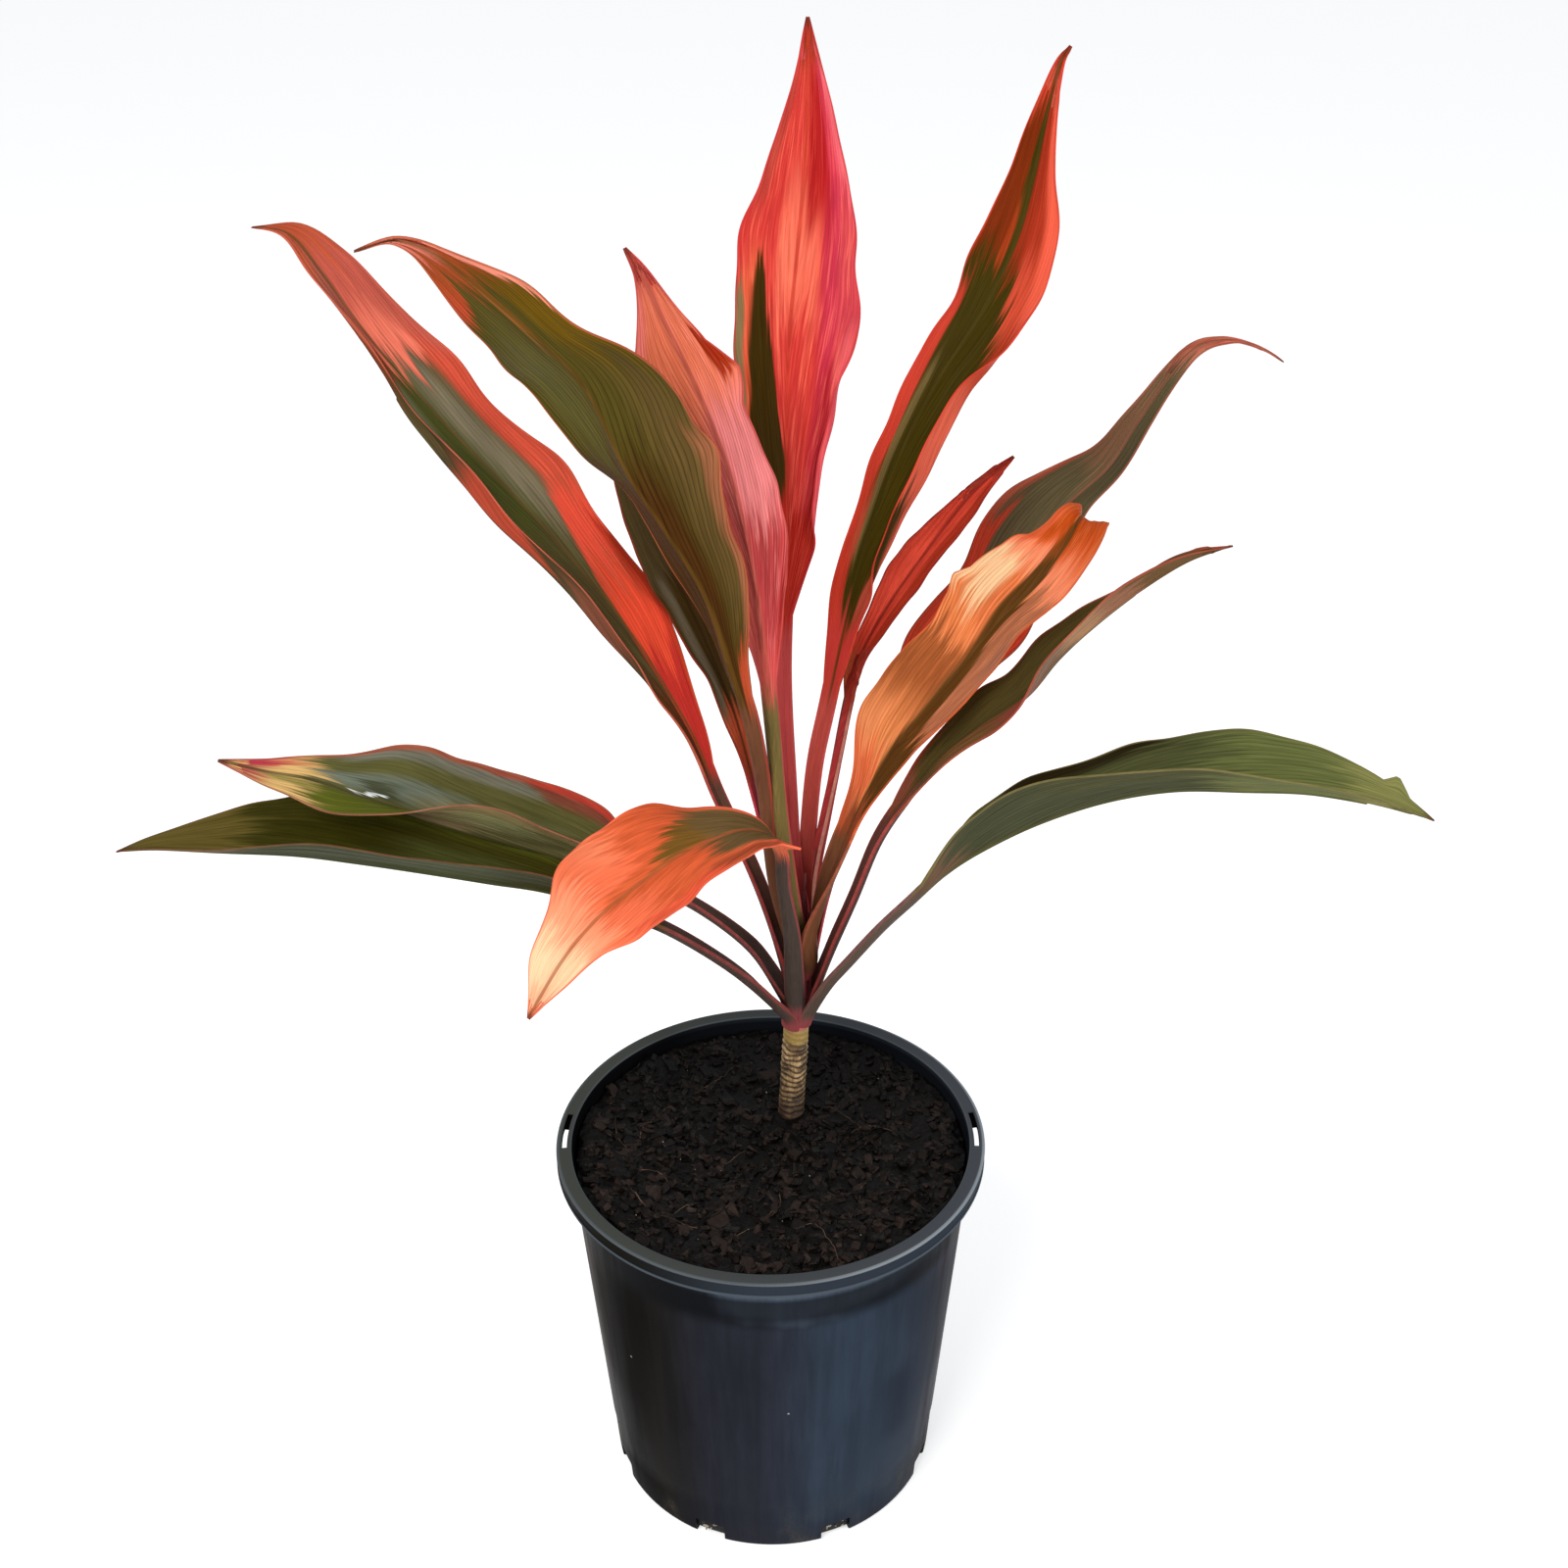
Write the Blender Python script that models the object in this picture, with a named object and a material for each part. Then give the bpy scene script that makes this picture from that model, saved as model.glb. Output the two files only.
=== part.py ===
"""A ti plant with fourteen long leaves in a black nursery pot.

Metres, +Z up. The origin is the middle of the pot's flat underside.
"""

import math

import bmesh
import bpy
import numpy as np
from mathutils import Vector, noise

MM = 0.001  # lengths below are written in millimetres
CLEARANCE = 0.3  # gap between pieces that touch

# The pot: a thin moulded cone under a flat rim with a skirt
POT_HEIGHT = 187.0
RIM_RADIUS = 100.0
RIM_INNER_RADIUS = 92.8
RIM_THICKNESS = 1.6
SKIRT_DEPTH = 7.5
SKIRT_DRAFT = 0.3
RIM_EDGE = 0.8  # bevel on both edges of the rim
RIM_INSIDE_DEPTH = 6.0  # where the inside of the rim meets the wall
WALL_TOP_RADIUS = 93.9
BASE_RADIUS = 79.0
FOOT_BEVEL = 2.2
WALL = 1.5
FLOOR_THICKNESS = 2.5
POT_STEPS = 64

# Drain notches round the foot, and the two slots of a wire hanger in the rim
NOTCH_COUNT = 8
NOTCH_FIRST_ANGLE = 22.5
NOTCH_WIDTH = 15.0
NOTCH_HEIGHT = 10.0
SLOT_RADII = (94.9, 97.6)
SLOT_LENGTH = 25.0
SLOT_ANGLES = (2.0, 178.0)

# The potting mix: a rough bark surface, a shallow dish that nearly reaches the rim
SOIL_TOP = 174.0
SOIL_RISE = 8.5  # how much higher it lies at the wall than in the middle
SOIL_ROOM = CLEARANCE + 0.3  # to the pot's wall, over its flat facets
SOIL_RINGS = 17
SOIL_STEPS = 56
SOIL_SWELL = 2.4
SOIL_EDGE_DROP = 1.5
CHIP_SIZE = 14.0
CHIP_HEIGHT = 3.5

# The cane, leaning a little to the right, with its crown
CANE_FOOT = (8.4, 29.7, 150.0)
CANE_LEAN = 0.05  # sideways run for each millimetre of height
CANE_RADIUS = 5.6
HOLE_ROOM = 1.1  # round the cane, which leans in an upright hole
HOLE_LENGTH = 60.0
CROWN_HEIGHT = 226.0
CROWN_TIP_HEIGHT = 312.0
SCAR_SPACING = 3.1
SCAR_RELIEF = 0.45
SCAR_TILT = 0.5
CANE_STEPS = 14
SEAT_RISE = 8.0  # a stalk's lowest stretch, which lies along the crown
SEAT_SPREAD = 0.15  # how far it leaves the crown for each millimetre of rise

# What all leaves share
BLADE_THICKNESS = 0.9
RIB_THICKNESS = 2.4
STALK_THICKNESS = 2.8
STALK_EDGE = 1.2
STALK_FOLD = 24.0
COLUMNS = (-1.0, -0.8, -0.42, 0.0, 0.42, 0.8, 1.0)  # across the blade, edge to edge
STALK_STATIONS = 6
BLADE_STATIONS = 16
OPENING = 0.16  # share of the blade over which it opens out of the stalk
TIP_HALF = 0.6

# heading: the way the leaf grows, in degrees from +X towards +Y
# seat: where its stalk meets the crown, as an angle and a height
# rib: points along its middle; stalk: the share of the length, and half widths at both ends
# left, right: half widths at equal steps along the blade, for the sides seen from the crown
# roll, fold: turn about the rib, and how steeply both halves rise, in degrees
# curl: extra bend out to the margins; wave: height, number and start of the margin's waves
# hem: a rolled margin's side, bend in degrees, the stretch of the blade it takes, and the share of the
# half blade where it begins
LEAVES = {
    "leaf_far_left": dict(
        heading=142, seat=(160, 251), stalk=(0.27, 4.0, 3.2),
        rib=[(2, 35, 280), (-8, 38, 310), (-23, 45, 344), (-36, 52, 376), (-62, 65, 418), (-95, 80, 456),
             (-133, 96, 493), (-168, 110, 530), (-190, 119, 560), (-203, 124, 575), (-220, 130, 577)],
        left=(9, 22, 24, 29, 20, 8, 6), right=(13, 23, 25, 29, 26, 24, 17), roll=(5, 5, 5), fold=(14, 10),
        curl=-8, wave=(2.5, 4.0, 0.1), hem=(-1, 150, 0.10, 0.72, 0.66), colour=(0.33, 0.10, 0.05)),
    "leaf_olive": dict(
        heading=215, seat=(200, 268), stalk=(0.36, 3.6, 3.4),
        rib=[(2, 25, 310), (-2, 17, 360), (-7, 8, 399), (-14, 3, 428), (-24, -5, 465), (-38, -13, 495),
             (-51, -22, 522), (-63, -32, 556), (-75, -40, 574), (-102, -56, 606), (-119, -64, 618),
             (-134, -70, 616)],
        left=(10, 17, 25, 33, 33, 31, 15, 12, 5), right=(12, 19, 23, 22, 30, 20, 11), roll=(-24, -23, -36, -40),
        fold=(26, 27, 11, 8),
        curl=-10, wave=(3.0, 3.5, 0.6), hem=None, colour=(0.09, 0.075, 0.012)),
    "leaf_dark_back": dict(
        heading=125, seat=(132, 264), stalk=(0.36, 2.6, 3.0),
        rib=[(6, 43, 290), (0, 48, 318), (-8, 58, 348), (-17, 68, 380), (-30, 78, 412), (-44, 90, 440),
             (-58, 100, 468), (-70, 108, 492)],
        left=(6, 8, 12, 13, 17, 13, 8), right=(8, 9, 10, 10, 10, 9, 6), roll=(0, 0, 0), fold=(15, 10),
        curl=-8, wave=(2.0, 3.0, 0.3), hem=None, colour=(0.022, 0.02, 0.012)),
    "leaf_pink_upright": dict(
        heading=205, seat=(243, 276), stalk=(0.42, 3.4, 3.0),
        rib=[(9, 16, 316), (5, 16, 353), (2, 17, 394), (-1, 16, 431), (-5, 15, 467), (-14, 14, 509),
             (-25, 13, 541), (-37, 12, 568), (-45, 11, 587), (-51, 10, 597)],
        left=(8, 13, 17, 12, 10, 6, 5), right=(8, 14, 20, 24, 26, 22, 8), roll=(-55, -55, -60), fold=(10, 8),
        curl=-8, wave=(1.5, 3.0, 0.0), hem=None, colour=(0.5, 0.09, 0.07)),
    "leaf_top_red": dict(
        heading=95, seat=(112, 284), stalk=(0.38, 3.0, 3.0),
        rib=[(11, 39, 312), (9, 44, 350), (7, 49, 400), (8, 53, 441), (9, 58, 475), (9, 64, 508),
             (10, 72, 543), (13, 79, 573), (16, 86, 603), (18, 94, 635), (18, 100, 665)],
        left=(14, 18, 21, 23, 25, 17, 8), right=(12, 18, 25, 28, 25, 18, 9), roll=(0, 0, 0), fold=(16, 8),
        curl=-8, wave=(2.0, 3.0, 0.5), hem=(1, 150, 0.10, 0.48, 0.72), colour=(0.42, 0.035, 0.03)),
    "leaf_upper_right": dict(
        heading=50, seat=(62, 262), stalk=(0.33, 3.2, 3.2),
        rib=[(17, 38, 286), (18, 41, 318), (21, 44, 358), (27, 47, 390), (38, 56, 442), (46, 61, 469),
             (58, 68, 499), (73, 75, 527), (90, 82, 552), (103, 89, 578), (110, 95, 604), (118, 102, 643),
             (123, 104, 653)],
        left=(9, 9, 11, 12, 15, 14, 8), right=(9, 18, 25, 24, 24, 16, 6), roll=(-15, -15, -15), fold=(18, 10),
        curl=-6, wave=(2.0, 4.0, 0.4), hem=(1, 150, 0.13, 0.58, 0.62), colour=(0.42, 0.07, 0.03)),
    "leaf_small_red": dict(
        heading=25, seat=(2, 284), stalk=(0.46, 2.6, 2.4),
        rib=[(21, 33, 309), (26, 40, 336), (31, 47, 362), (36, 53, 388), (42, 59, 408), (54, 65, 429),
             (69, 72, 449), (86, 79, 470), (99, 83, 482), (107, 86, 488)],
        left=(6, 6, 8, 11, 8, 5, 3), right=(3, 6, 7, 8, 8, 8, 5), roll=(-30, -30, -30), fold=(14, 10),
        curl=-6, wave=(1.2, 3.0, 0.2), hem=None, colour=(0.38, 0.02, 0.02)),
    "leaf_dark_right": dict(
        heading=30, seat=(56, 248), stalk=(0.34, 3.4, 3.2),
        rib=[(24, 41, 288), (35, 49, 322), (49, 60, 349), (65, 71, 375), (82, 80, 399), (100, 88, 420),
             (117, 96, 441), (135, 105, 459), (153, 113, 473), (167, 121, 493), (187, 131, 519),
             (204, 135, 524), (221, 139, 519), (233, 142, 512)],
        left=(20, 20, 26, 20, 10, 4, 3), right=(22, 27, 19, 9, 8, 5, 4), roll=(-20, -20, -20), fold=(12, 8),
        curl=-8, wave=(2.0, 3.5, 0.7), hem=None, colour=(0.10, 0.05, 0.02)),
    "leaf_orange_folded": dict(
        heading=8, seat=(325, 257), stalk=(0.31, 4.8, 5.0),
        rib=[(20, 21, 288), (28, 19, 318), (39, 18, 350), (51, 16, 378), (65, 14, 400), (81, 12, 423),
             (96, 11, 445), (110, 11, 461), (121, 14, 474), (129, 24, 479), (135, 38, 474), (140, 52, 465)],
        left=(11, 26, 28, 28, 31, 21, 9), right=(8, 11, 16, 15, 16, 21, 9), roll=(-25, -25, -10), fold=(16, 14),
        curl=-10, wave=(2.0, 3.0, 0.8), hem=None, colour=(0.62, 0.16, 0.055)),
    "leaf_narrow_right": dict(
        heading=355, seat=(4, 239), stalk=(0.40, 3.8, 3.0),
        rib=[(27, 26, 270), (38, 21, 304), (48, 16, 337), (60, 8, 364), (73, 4, 385), (89, 1, 402),
             (106, -3, 417), (118, -5, 435), (131, -7, 450), (147, -9, 465), (165, -11, 479),
             (182, -12, 486)],
        left=(8, 10, 14, 14, 10, 7, 5), right=(12, 10, 13, 14, 14, 13, 9), roll=(-18, -22, 0, 0),
        fold=(32, 24, 46, 48),
        curl=-8, wave=(1.2, 3.0, 0.4), hem=None, colour=(0.045, 0.035, 0.01)),
    "leaf_low_right": dict(
        heading=355, seat=(322, 231), stalk=(0.33, 4.6, 4.2),
        rib=[(27, 17, 260), (36, 13, 275), (50, 8, 297), (63, 3, 315), (76, -1, 332), (91, -5, 346),
             (114, -10, 362), (141, -15, 375), (168, -19, 382), (196, -22, 383), (223, -25, 383),
             (251, -27, 378), (273, -29, 372)],
        left=(17, 23, 19, 25, 29, 22, 18), right=(16, 23, 24, 18, 14, 14, 9), roll=(25, 12, 0), fold=(52, 44),
        curl=-6, wave=(1.5, 3.0, 0.1), hem=None, colour=(0.10, 0.085, 0.02)),
    "leaf_low_left": dict(
        heading=185, seat=(166, 237), stalk=(0.33, 4.6, 4.0),
        rib=[(-9, 32, 271), (-34, 30, 295), (-57, 28, 308), (-80, 27, 319), (-97, 26, 326), (-114, 25, 332),
             (-131, 24, 338), (-147, 23, 344), (-172, 22, 355), (-197, 21, 366), (-217, 20, 371),
             (-236, 19, 377)],
        left=(15, 20, 22, 22, 17, 17, 9), right=(26, 30, 32, 32, 28, 15, 8), roll=(-8, -8, -3, 30, 20),
        fold=(52, 52, 52, 18, 8),
        curl=-6, wave=(1.5, 2.5, 0.3), hem=None, colour=(0.085, 0.08, 0.02)),
    "leaf_lowest_left": dict(
        heading=195, seat=(216, 230), stalk=(0.28, 4.8, 3.8),
        rib=[(-16, 20, 266), (-46, 16, 291), (-72, 14, 304), (-97, 12, 315), (-122, 10, 321), (-147, 8, 327),
             (-176, 5, 334), (-204, 2, 340), (-236, -2, 344), (-261, -5, 347), (-277, -7, 347)],
        left=(13, 20, 24, 25, 22, 15, 9), right=(15, 23, 29, 32, 33, 28, 14), roll=(-5, -5, -5),
        fold=(40, 40, 30),
        curl=-6, wave=(1.5, 2.5, 0.6), hem=None, colour=(0.03, 0.028, 0.006)),
    "leaf_front_orange": dict(
        heading=230, seat=(258, 237), stalk=(0.42, 5.0, 3.2),
        rib=[(10, 15, 285), (6, 9, 318), (5, 2, 340), (-1, -6, 354), (-11, -15, 361), (-22, -24, 362),
             (-37, -35, 360), (-53, -46, 353), (-68, -57, 345), (-82, -68, 332), (-96, -80, 312)],
        left=(13, 18, 18, 21, 21, 12, 8), right=(10, 19, 29, 29, 32, 18, 12), roll=(15, 15, 10), fold=(12, 8),
        curl=-12, wave=(2.5, 3.0, 0.5), hem=None, colour=(0.72, 0.16, 0.07)),
}


def clear_scene():
    for obj in list(bpy.data.objects):
        bpy.data.objects.remove(obj, do_unlink=True)


def new_material(name, colour, roughness, metallic=0.0):
    material = bpy.data.materials.new(name)
    material.use_nodes = True
    shader = material.node_tree.nodes["Principled BSDF"]
    shader.inputs["Base Color"].default_value = (*colour, 1.0)
    shader.inputs["Roughness"].default_value = roughness
    shader.inputs["Metallic"].default_value = metallic
    material.diffuse_color = (*colour, 1.0)
    return material


def new_object(name, bm, material=None):
    """Writes a closed bmesh, given in millimetres, as one object."""
    bmesh.ops.recalc_face_normals(bm, faces=bm.faces)
    bmesh.ops.scale(bm, vec=(MM, MM, MM), verts=bm.verts)
    mesh = bpy.data.meshes.new(name)
    bm.to_mesh(mesh)
    bm.free()
    obj = bpy.data.objects.new(name, mesh)
    bpy.context.scene.collection.objects.link(obj)
    if material:
        mesh.materials.append(material)
    return obj


def add_cutter(obj, cutter):
    cutter.hide_render = True
    cutter.display_type = "WIRE"
    cut = obj.modifiers.new("cut_" + cutter.name, "BOOLEAN")
    cut.operation = "DIFFERENCE"
    cut.object = cutter


def loft(bm, rings):
    """Closes a stack of equally long rings with quads and a fan over each end."""
    rows = [[bm.verts.new(point) for point in ring] for ring in rings]
    for lower, upper in zip(rows, rows[1:]):
        for k in range(len(lower)):
            following = (k + 1) % len(lower)
            bm.faces.new((lower[k], lower[following], upper[following], upper[k]))
    for row, ring in ((rows[0], rings[0]), (rows[-1], rings[-1])):
        middle = bm.verts.new(np.mean(ring, axis=0))
        for k in range(len(row)):
            bm.faces.new((row[k], row[(k + 1) % len(row)], middle))


def turned(profile, steps):
    """A solid of revolution from an open profile of (radius, height) that ends on the axis."""
    bm = bmesh.new()
    verts = [bm.verts.new((radius, 0, height)) for radius, height in profile]
    edges = [bm.edges.new(pair) for pair in zip(verts, verts[1:])]
    bmesh.ops.spin(bm, geom=verts + edges, axis=(0, 0, 1), cent=(0, 0, 0), steps=steps,
                   angle=math.tau, use_merge=True)
    bmesh.ops.remove_doubles(bm, verts=bm.verts, dist=1e-4)
    return bm


def wall_radius(height):
    """Outer radius of the pot's wall."""
    return BASE_RADIUS + (WALL_TOP_RADIUS - BASE_RADIUS) * height / (POT_HEIGHT - RIM_THICKNESS)


def box_round_axis(bm, radius, angle, length, width, low, high):
    """A block at a radius and an angle, length along the radius."""
    turn = math.radians(angle)
    outward = Vector((math.cos(turn), math.sin(turn), 0))
    across = Vector((-math.sin(turn), math.cos(turn), 0))
    verts = []
    for height in (low, high):
        for r, w in ((-1, -1), (1, -1), (1, 1), (-1, 1)):
            place = outward * (radius + r * length / 2) + across * (w * width / 2)
            verts.append(bm.verts.new((place.x, place.y, height)))
    faces = [(0, 1, 2, 3), (4, 5, 6, 7)] + [(k, (k + 1) % 4, (k + 1) % 4 + 4, k + 4) for k in range(4)]
    for face in faces:
        bm.faces.new([verts[k] for k in face])


def arc_block(bm, angle, low, high, pieces=4):
    """A slot's block, bent along the rim."""
    half = math.degrees(SLOT_LENGTH / sum(SLOT_RADII))
    rings = []
    for k in range(pieces + 1):
        turn = math.radians(angle - half + 2 * half * k / pieces)
        rings.append([(r * math.cos(turn), r * math.sin(turn), z)
                      for r, z in ((SLOT_RADII[0], low), (SLOT_RADII[1], low),
                                   (SLOT_RADII[1], high), (SLOT_RADII[0], high))])
    loft(bm, rings)


def make_pot():
    top = POT_HEIGHT
    under_rim = top - RIM_THICKNESS
    skirt_inner = RIM_RADIUS - RIM_THICKNESS
    lip_end = top - RIM_INSIDE_DEPTH
    profile = [
        (0, 0),
        (BASE_RADIUS - FOOT_BEVEL, 0),
        (BASE_RADIUS, FOOT_BEVEL),
        (WALL_TOP_RADIUS, under_rim),
        (skirt_inner, under_rim),
        (skirt_inner + SKIRT_DRAFT, top - SKIRT_DEPTH),
        (RIM_RADIUS, top - SKIRT_DEPTH),
        (RIM_RADIUS, top - RIM_EDGE),
        (RIM_RADIUS - RIM_EDGE, top),
        (RIM_INNER_RADIUS + RIM_EDGE, top),
        (RIM_INNER_RADIUS, top - RIM_EDGE),
        (wall_radius(lip_end) - WALL, lip_end),
        (wall_radius(FLOOR_THICKNESS) - WALL, FLOOR_THICKNESS),
        (0, FLOOR_THICKNESS),
    ]
    plastic = new_material("black_plastic", (0.012, 0.012, 0.014), 0.38)
    pot = new_object("pot", turned(profile, POT_STEPS), plastic)
    cutters = bmesh.new()
    for k in range(NOTCH_COUNT):
        angle = NOTCH_FIRST_ANGLE + 360 / NOTCH_COUNT * k
        box_round_axis(cutters, BASE_RADIUS, angle, 12, NOTCH_WIDTH, -2, NOTCH_HEIGHT)
    for angle in SLOT_ANGLES:
        arc_block(cutters, angle, under_rim - 3, top + 2)
    add_cutter(pot, new_object("pot_cutters", cutters))


def soil_height(x, y):
    """A shallow dish with swells and flat bark chips."""
    rise = SOIL_RISE * (math.hypot(x, y) / WALL_TOP_RADIUS) ** 2
    swell = noise.noise(Vector((x, y, 3.1)) / 38.0) * SOIL_SWELL
    distances, points = noise.voronoi(Vector((x, y, 0.0)) / CHIP_SIZE)
    chip = noise.cell(points[0] * 7.0) * CHIP_HEIGHT
    return SOIL_TOP + rise + swell + chip * min(1.0, 2.5 * (distances[1] - distances[0]) + 0.3)


def make_potting_mix():
    bm = bmesh.new()
    low = FLOOR_THICKNESS + CLEARANCE
    edge = wall_radius(SOIL_TOP) - WALL - SOIL_ROOM
    foot = wall_radius(low) - WALL - SOIL_ROOM
    step = math.tau / SOIL_STEPS
    rings = [[(foot * math.cos(step * j), foot * math.sin(step * j), low) for j in range(SOIL_STEPS)]]
    for k in range(SOIL_RINGS):
        radius = edge * (1 - k / SOIL_RINGS) ** 0.85
        ring = []
        for j in range(SOIL_STEPS):
            turn = step * (j + 0.5 * (k % 2))
            x, y = radius * math.cos(turn), radius * math.sin(turn)
            ring.append((x, y, soil_height(x, y) - (SOIL_EDGE_DROP if k == 0 else 0.0)))
        rings.append(ring)
    loft(bm, rings)
    mix = new_object("potting_mix", bm, new_material("bark_mix", (0.018, 0.011, 0.008), 0.9))
    hole = bmesh.new()
    x, y, z = CANE_FOOT
    radius = CANE_RADIUS + HOLE_ROOM
    bmesh.ops.create_cone(hole, cap_ends=True, segments=24, radius1=radius, radius2=radius, depth=HOLE_LENGTH)
    middle = (x + CANE_LEAN * (SOIL_TOP - z) / 2, y, z - CLEARANCE + HOLE_LENGTH / 2)
    bmesh.ops.translate(hole, verts=hole.verts, vec=middle)
    add_cutter(mix, new_object("cane_hole", hole))


def crown_centre(height):
    foot_x, foot_y, foot_z = CANE_FOOT
    return foot_x + CANE_LEAN * (height - foot_z), foot_y


def crown_radius(height):
    """The cane's radius, narrowing through the crown to a bud."""
    if height <= CROWN_HEIGHT:
        return CANE_RADIUS
    rest = (CROWN_TIP_HEIGHT - height) / (CROWN_TIP_HEIGHT - CROWN_HEIGHT)
    return max(0.6, CANE_RADIUS * rest ** 0.9)


def make_cane():
    bm = bmesh.new()
    heights = [(CANE_FOOT[2], 0.0), (SOIL_TOP - 8, 0.0)]
    scars = int((CROWN_HEIGHT - SOIL_TOP + 4) / SCAR_SPACING)
    for k in range(scars):
        start = SOIL_TOP - 4 + SCAR_SPACING * k
        heights += [(start, 0.0), (start + SCAR_SPACING * 0.55, 1.0), (start + SCAR_SPACING * 0.8, 1.0)]
    heights += [(CROWN_HEIGHT + 4 + 12.0 * k, 0.0) for k in range(7)] + [(CROWN_TIP_HEIGHT, 0.0)]
    rings = []
    for index, (height, ridge) in enumerate(heights):
        ring = []
        scarred = SOIL_TOP < height < CROWN_HEIGHT
        radius = crown_radius(height) - SCAR_RELIEF * (1 - ridge) * (height < CROWN_HEIGHT)
        for k in range(CANE_STEPS):
            turn = math.tau * k / CANE_STEPS
            tilt = SCAR_TILT * math.sin(turn + 1.3 * (index // 3)) * scarred
            x, y = crown_centre(height)
            ring.append((x + radius * math.cos(turn), y + radius * math.sin(turn), height + tilt))
        rings.append(ring)
    loft(bm, rings)
    new_object("cane", bm, new_material("cane_bark", (0.30, 0.17, 0.06), 0.7))


def smooth_path(points, fractions):
    """A smooth curve through the points, read at fractions of its length."""
    p = np.array(points, float)
    ends = np.vstack([2 * p[0] - p[1], p, 2 * p[-1] - p[-2]])
    t = np.linspace(0, 1, 25)[:, None]
    runs = []
    for a, b, c, d in zip(ends, ends[1:], ends[2:], ends[3:]):
        runs.append(0.5 * (2 * b + (c - a) * t + (2 * a - 5 * b + 4 * c - d) * t**2
                           + (3 * b - a - 3 * c + d) * t**3))
    dense = np.vstack([runs[0]] + [run[1:] for run in runs[1:]])
    length = np.r_[0, np.cumsum(np.linalg.norm(np.diff(dense, axis=0), axis=1))]
    where = np.array(fractions) * length[-1]
    return np.stack([np.interp(where, length, dense[:, k]) for k in range(3)], axis=1)


def through(values, where):
    """A smooth curve through equally spaced values, read at where from 0 to 1."""
    long = 1e4  # makes the curve's length its first coordinate, near enough
    steps = np.linspace(0, long, len(values))
    return smooth_path([(s, v, 0) for s, v in zip(steps, values)], where)[:, 1]


def ease(x):
    x = np.clip(x, 0, 1)
    return x * x * (3 - 2 * x)


def seated_rib(leaf):
    """The rib's points, from the stalk's seat on the crown up along it and out."""
    angle, height = leaf["seat"]
    turn = math.radians(angle)
    points = []
    for rise in (0, SEAT_RISE):
        x, y = crown_centre(height + rise)
        reach = crown_radius(height) + CLEARANCE + BLADE_THICKNESS + SEAT_SPREAD * rise
        points.append((x + reach * math.cos(turn), y + reach * math.sin(turn), height + rise))
    return points + leaf["rib"]


def leaf_frame(path, heading, roll):
    """The blade's right-hand and upward directions along its rib, for a heading at each point."""
    along = np.gradient(path, axis=0)
    along /= np.linalg.norm(along, axis=1)[:, None]
    turn = np.radians(heading)
    side = np.stack([np.sin(turn), -np.cos(turn), np.zeros(len(turn))], axis=1)
    right = side - along * np.sum(along * side, axis=1)[:, None]
    right /= np.linalg.norm(right, axis=1)[:, None]
    up = np.cross(right, along)
    roll = np.radians(roll)[:, None]
    return right * np.cos(roll) + up * np.sin(roll), up * np.cos(roll) - right * np.sin(roll)


def leaf_sheet(leaf, fractions, columns):
    """Points of the blade's middle sheet, rows along the leaf and columns across it."""
    fractions = np.array(fractions)
    share, seat_half, neck_half = leaf["stalk"]
    blade = np.clip((fractions - share) / (1 - share), 0, 1)
    stalk = np.clip(fractions / share, 0, 1)
    path = smooth_path(seated_rib(leaf), fractions)
    seat_angle = leaf["seat"][0]
    turned_away = (leaf["heading"] - seat_angle + 180) % 360 - 180
    heading = seat_angle + turned_away * ease(stalk * 1.2 - 0.1)
    right, up = leaf_frame(path, heading, through(leaf["roll"], blade) * ease(stalk * 1.2 - 0.2))
    opened = ease(blade / OPENING)
    fold = STALK_FOLD * ease(stalk / 0.4) * (1 - opened) + opened * through(leaf["fold"], blade)
    height, count, start = leaf["wave"]
    swing = np.sin(np.pi * blade) ** 0.7
    steps = (np.arange(16) + 0.5) / 16
    sheet = np.zeros((len(fractions), len(columns), 3))
    for column, u in enumerate(columns):
        side = -1 if u < 0 else 1
        half = through((neck_half, *leaf["right" if u > 0 else "left"], TIP_HALF), blade)
        half = np.where(blade > 0, half, seat_half + (neck_half - seat_half) * ease(stalk * 1.4))
        across = abs(u) * steps[None, :]
        bend = fold[:, None] + leaf["curl"] * across * opened[:, None]
        if leaf["hem"] and leaf["hem"][0] == side:
            _, angle, first, last, begins = leaf["hem"]
            window = ease((blade - first) / 0.1) * ease((last - blade) / 0.1)
            bend = bend + angle * ease((across - begins) / 0.2) * window[:, None]
        bend = np.radians(bend)
        outward = half * abs(u) * np.cos(bend).mean(axis=1)
        upward = half * abs(u) * np.sin(bend).mean(axis=1)
        upward += height * u * u * swing * np.sin(math.tau * (count * blade + start + 0.37 * (side > 0)))
        sheet[:, column] = path + right * (side * outward)[:, None] + up * upward[:, None]
    return sheet, blade


def sheet_normals(sheet):
    along = np.gradient(sheet, axis=0)
    across = np.gradient(sheet, axis=1)
    normal = np.cross(across, along)
    return normal / np.linalg.norm(normal, axis=2)[:, :, None]


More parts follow.
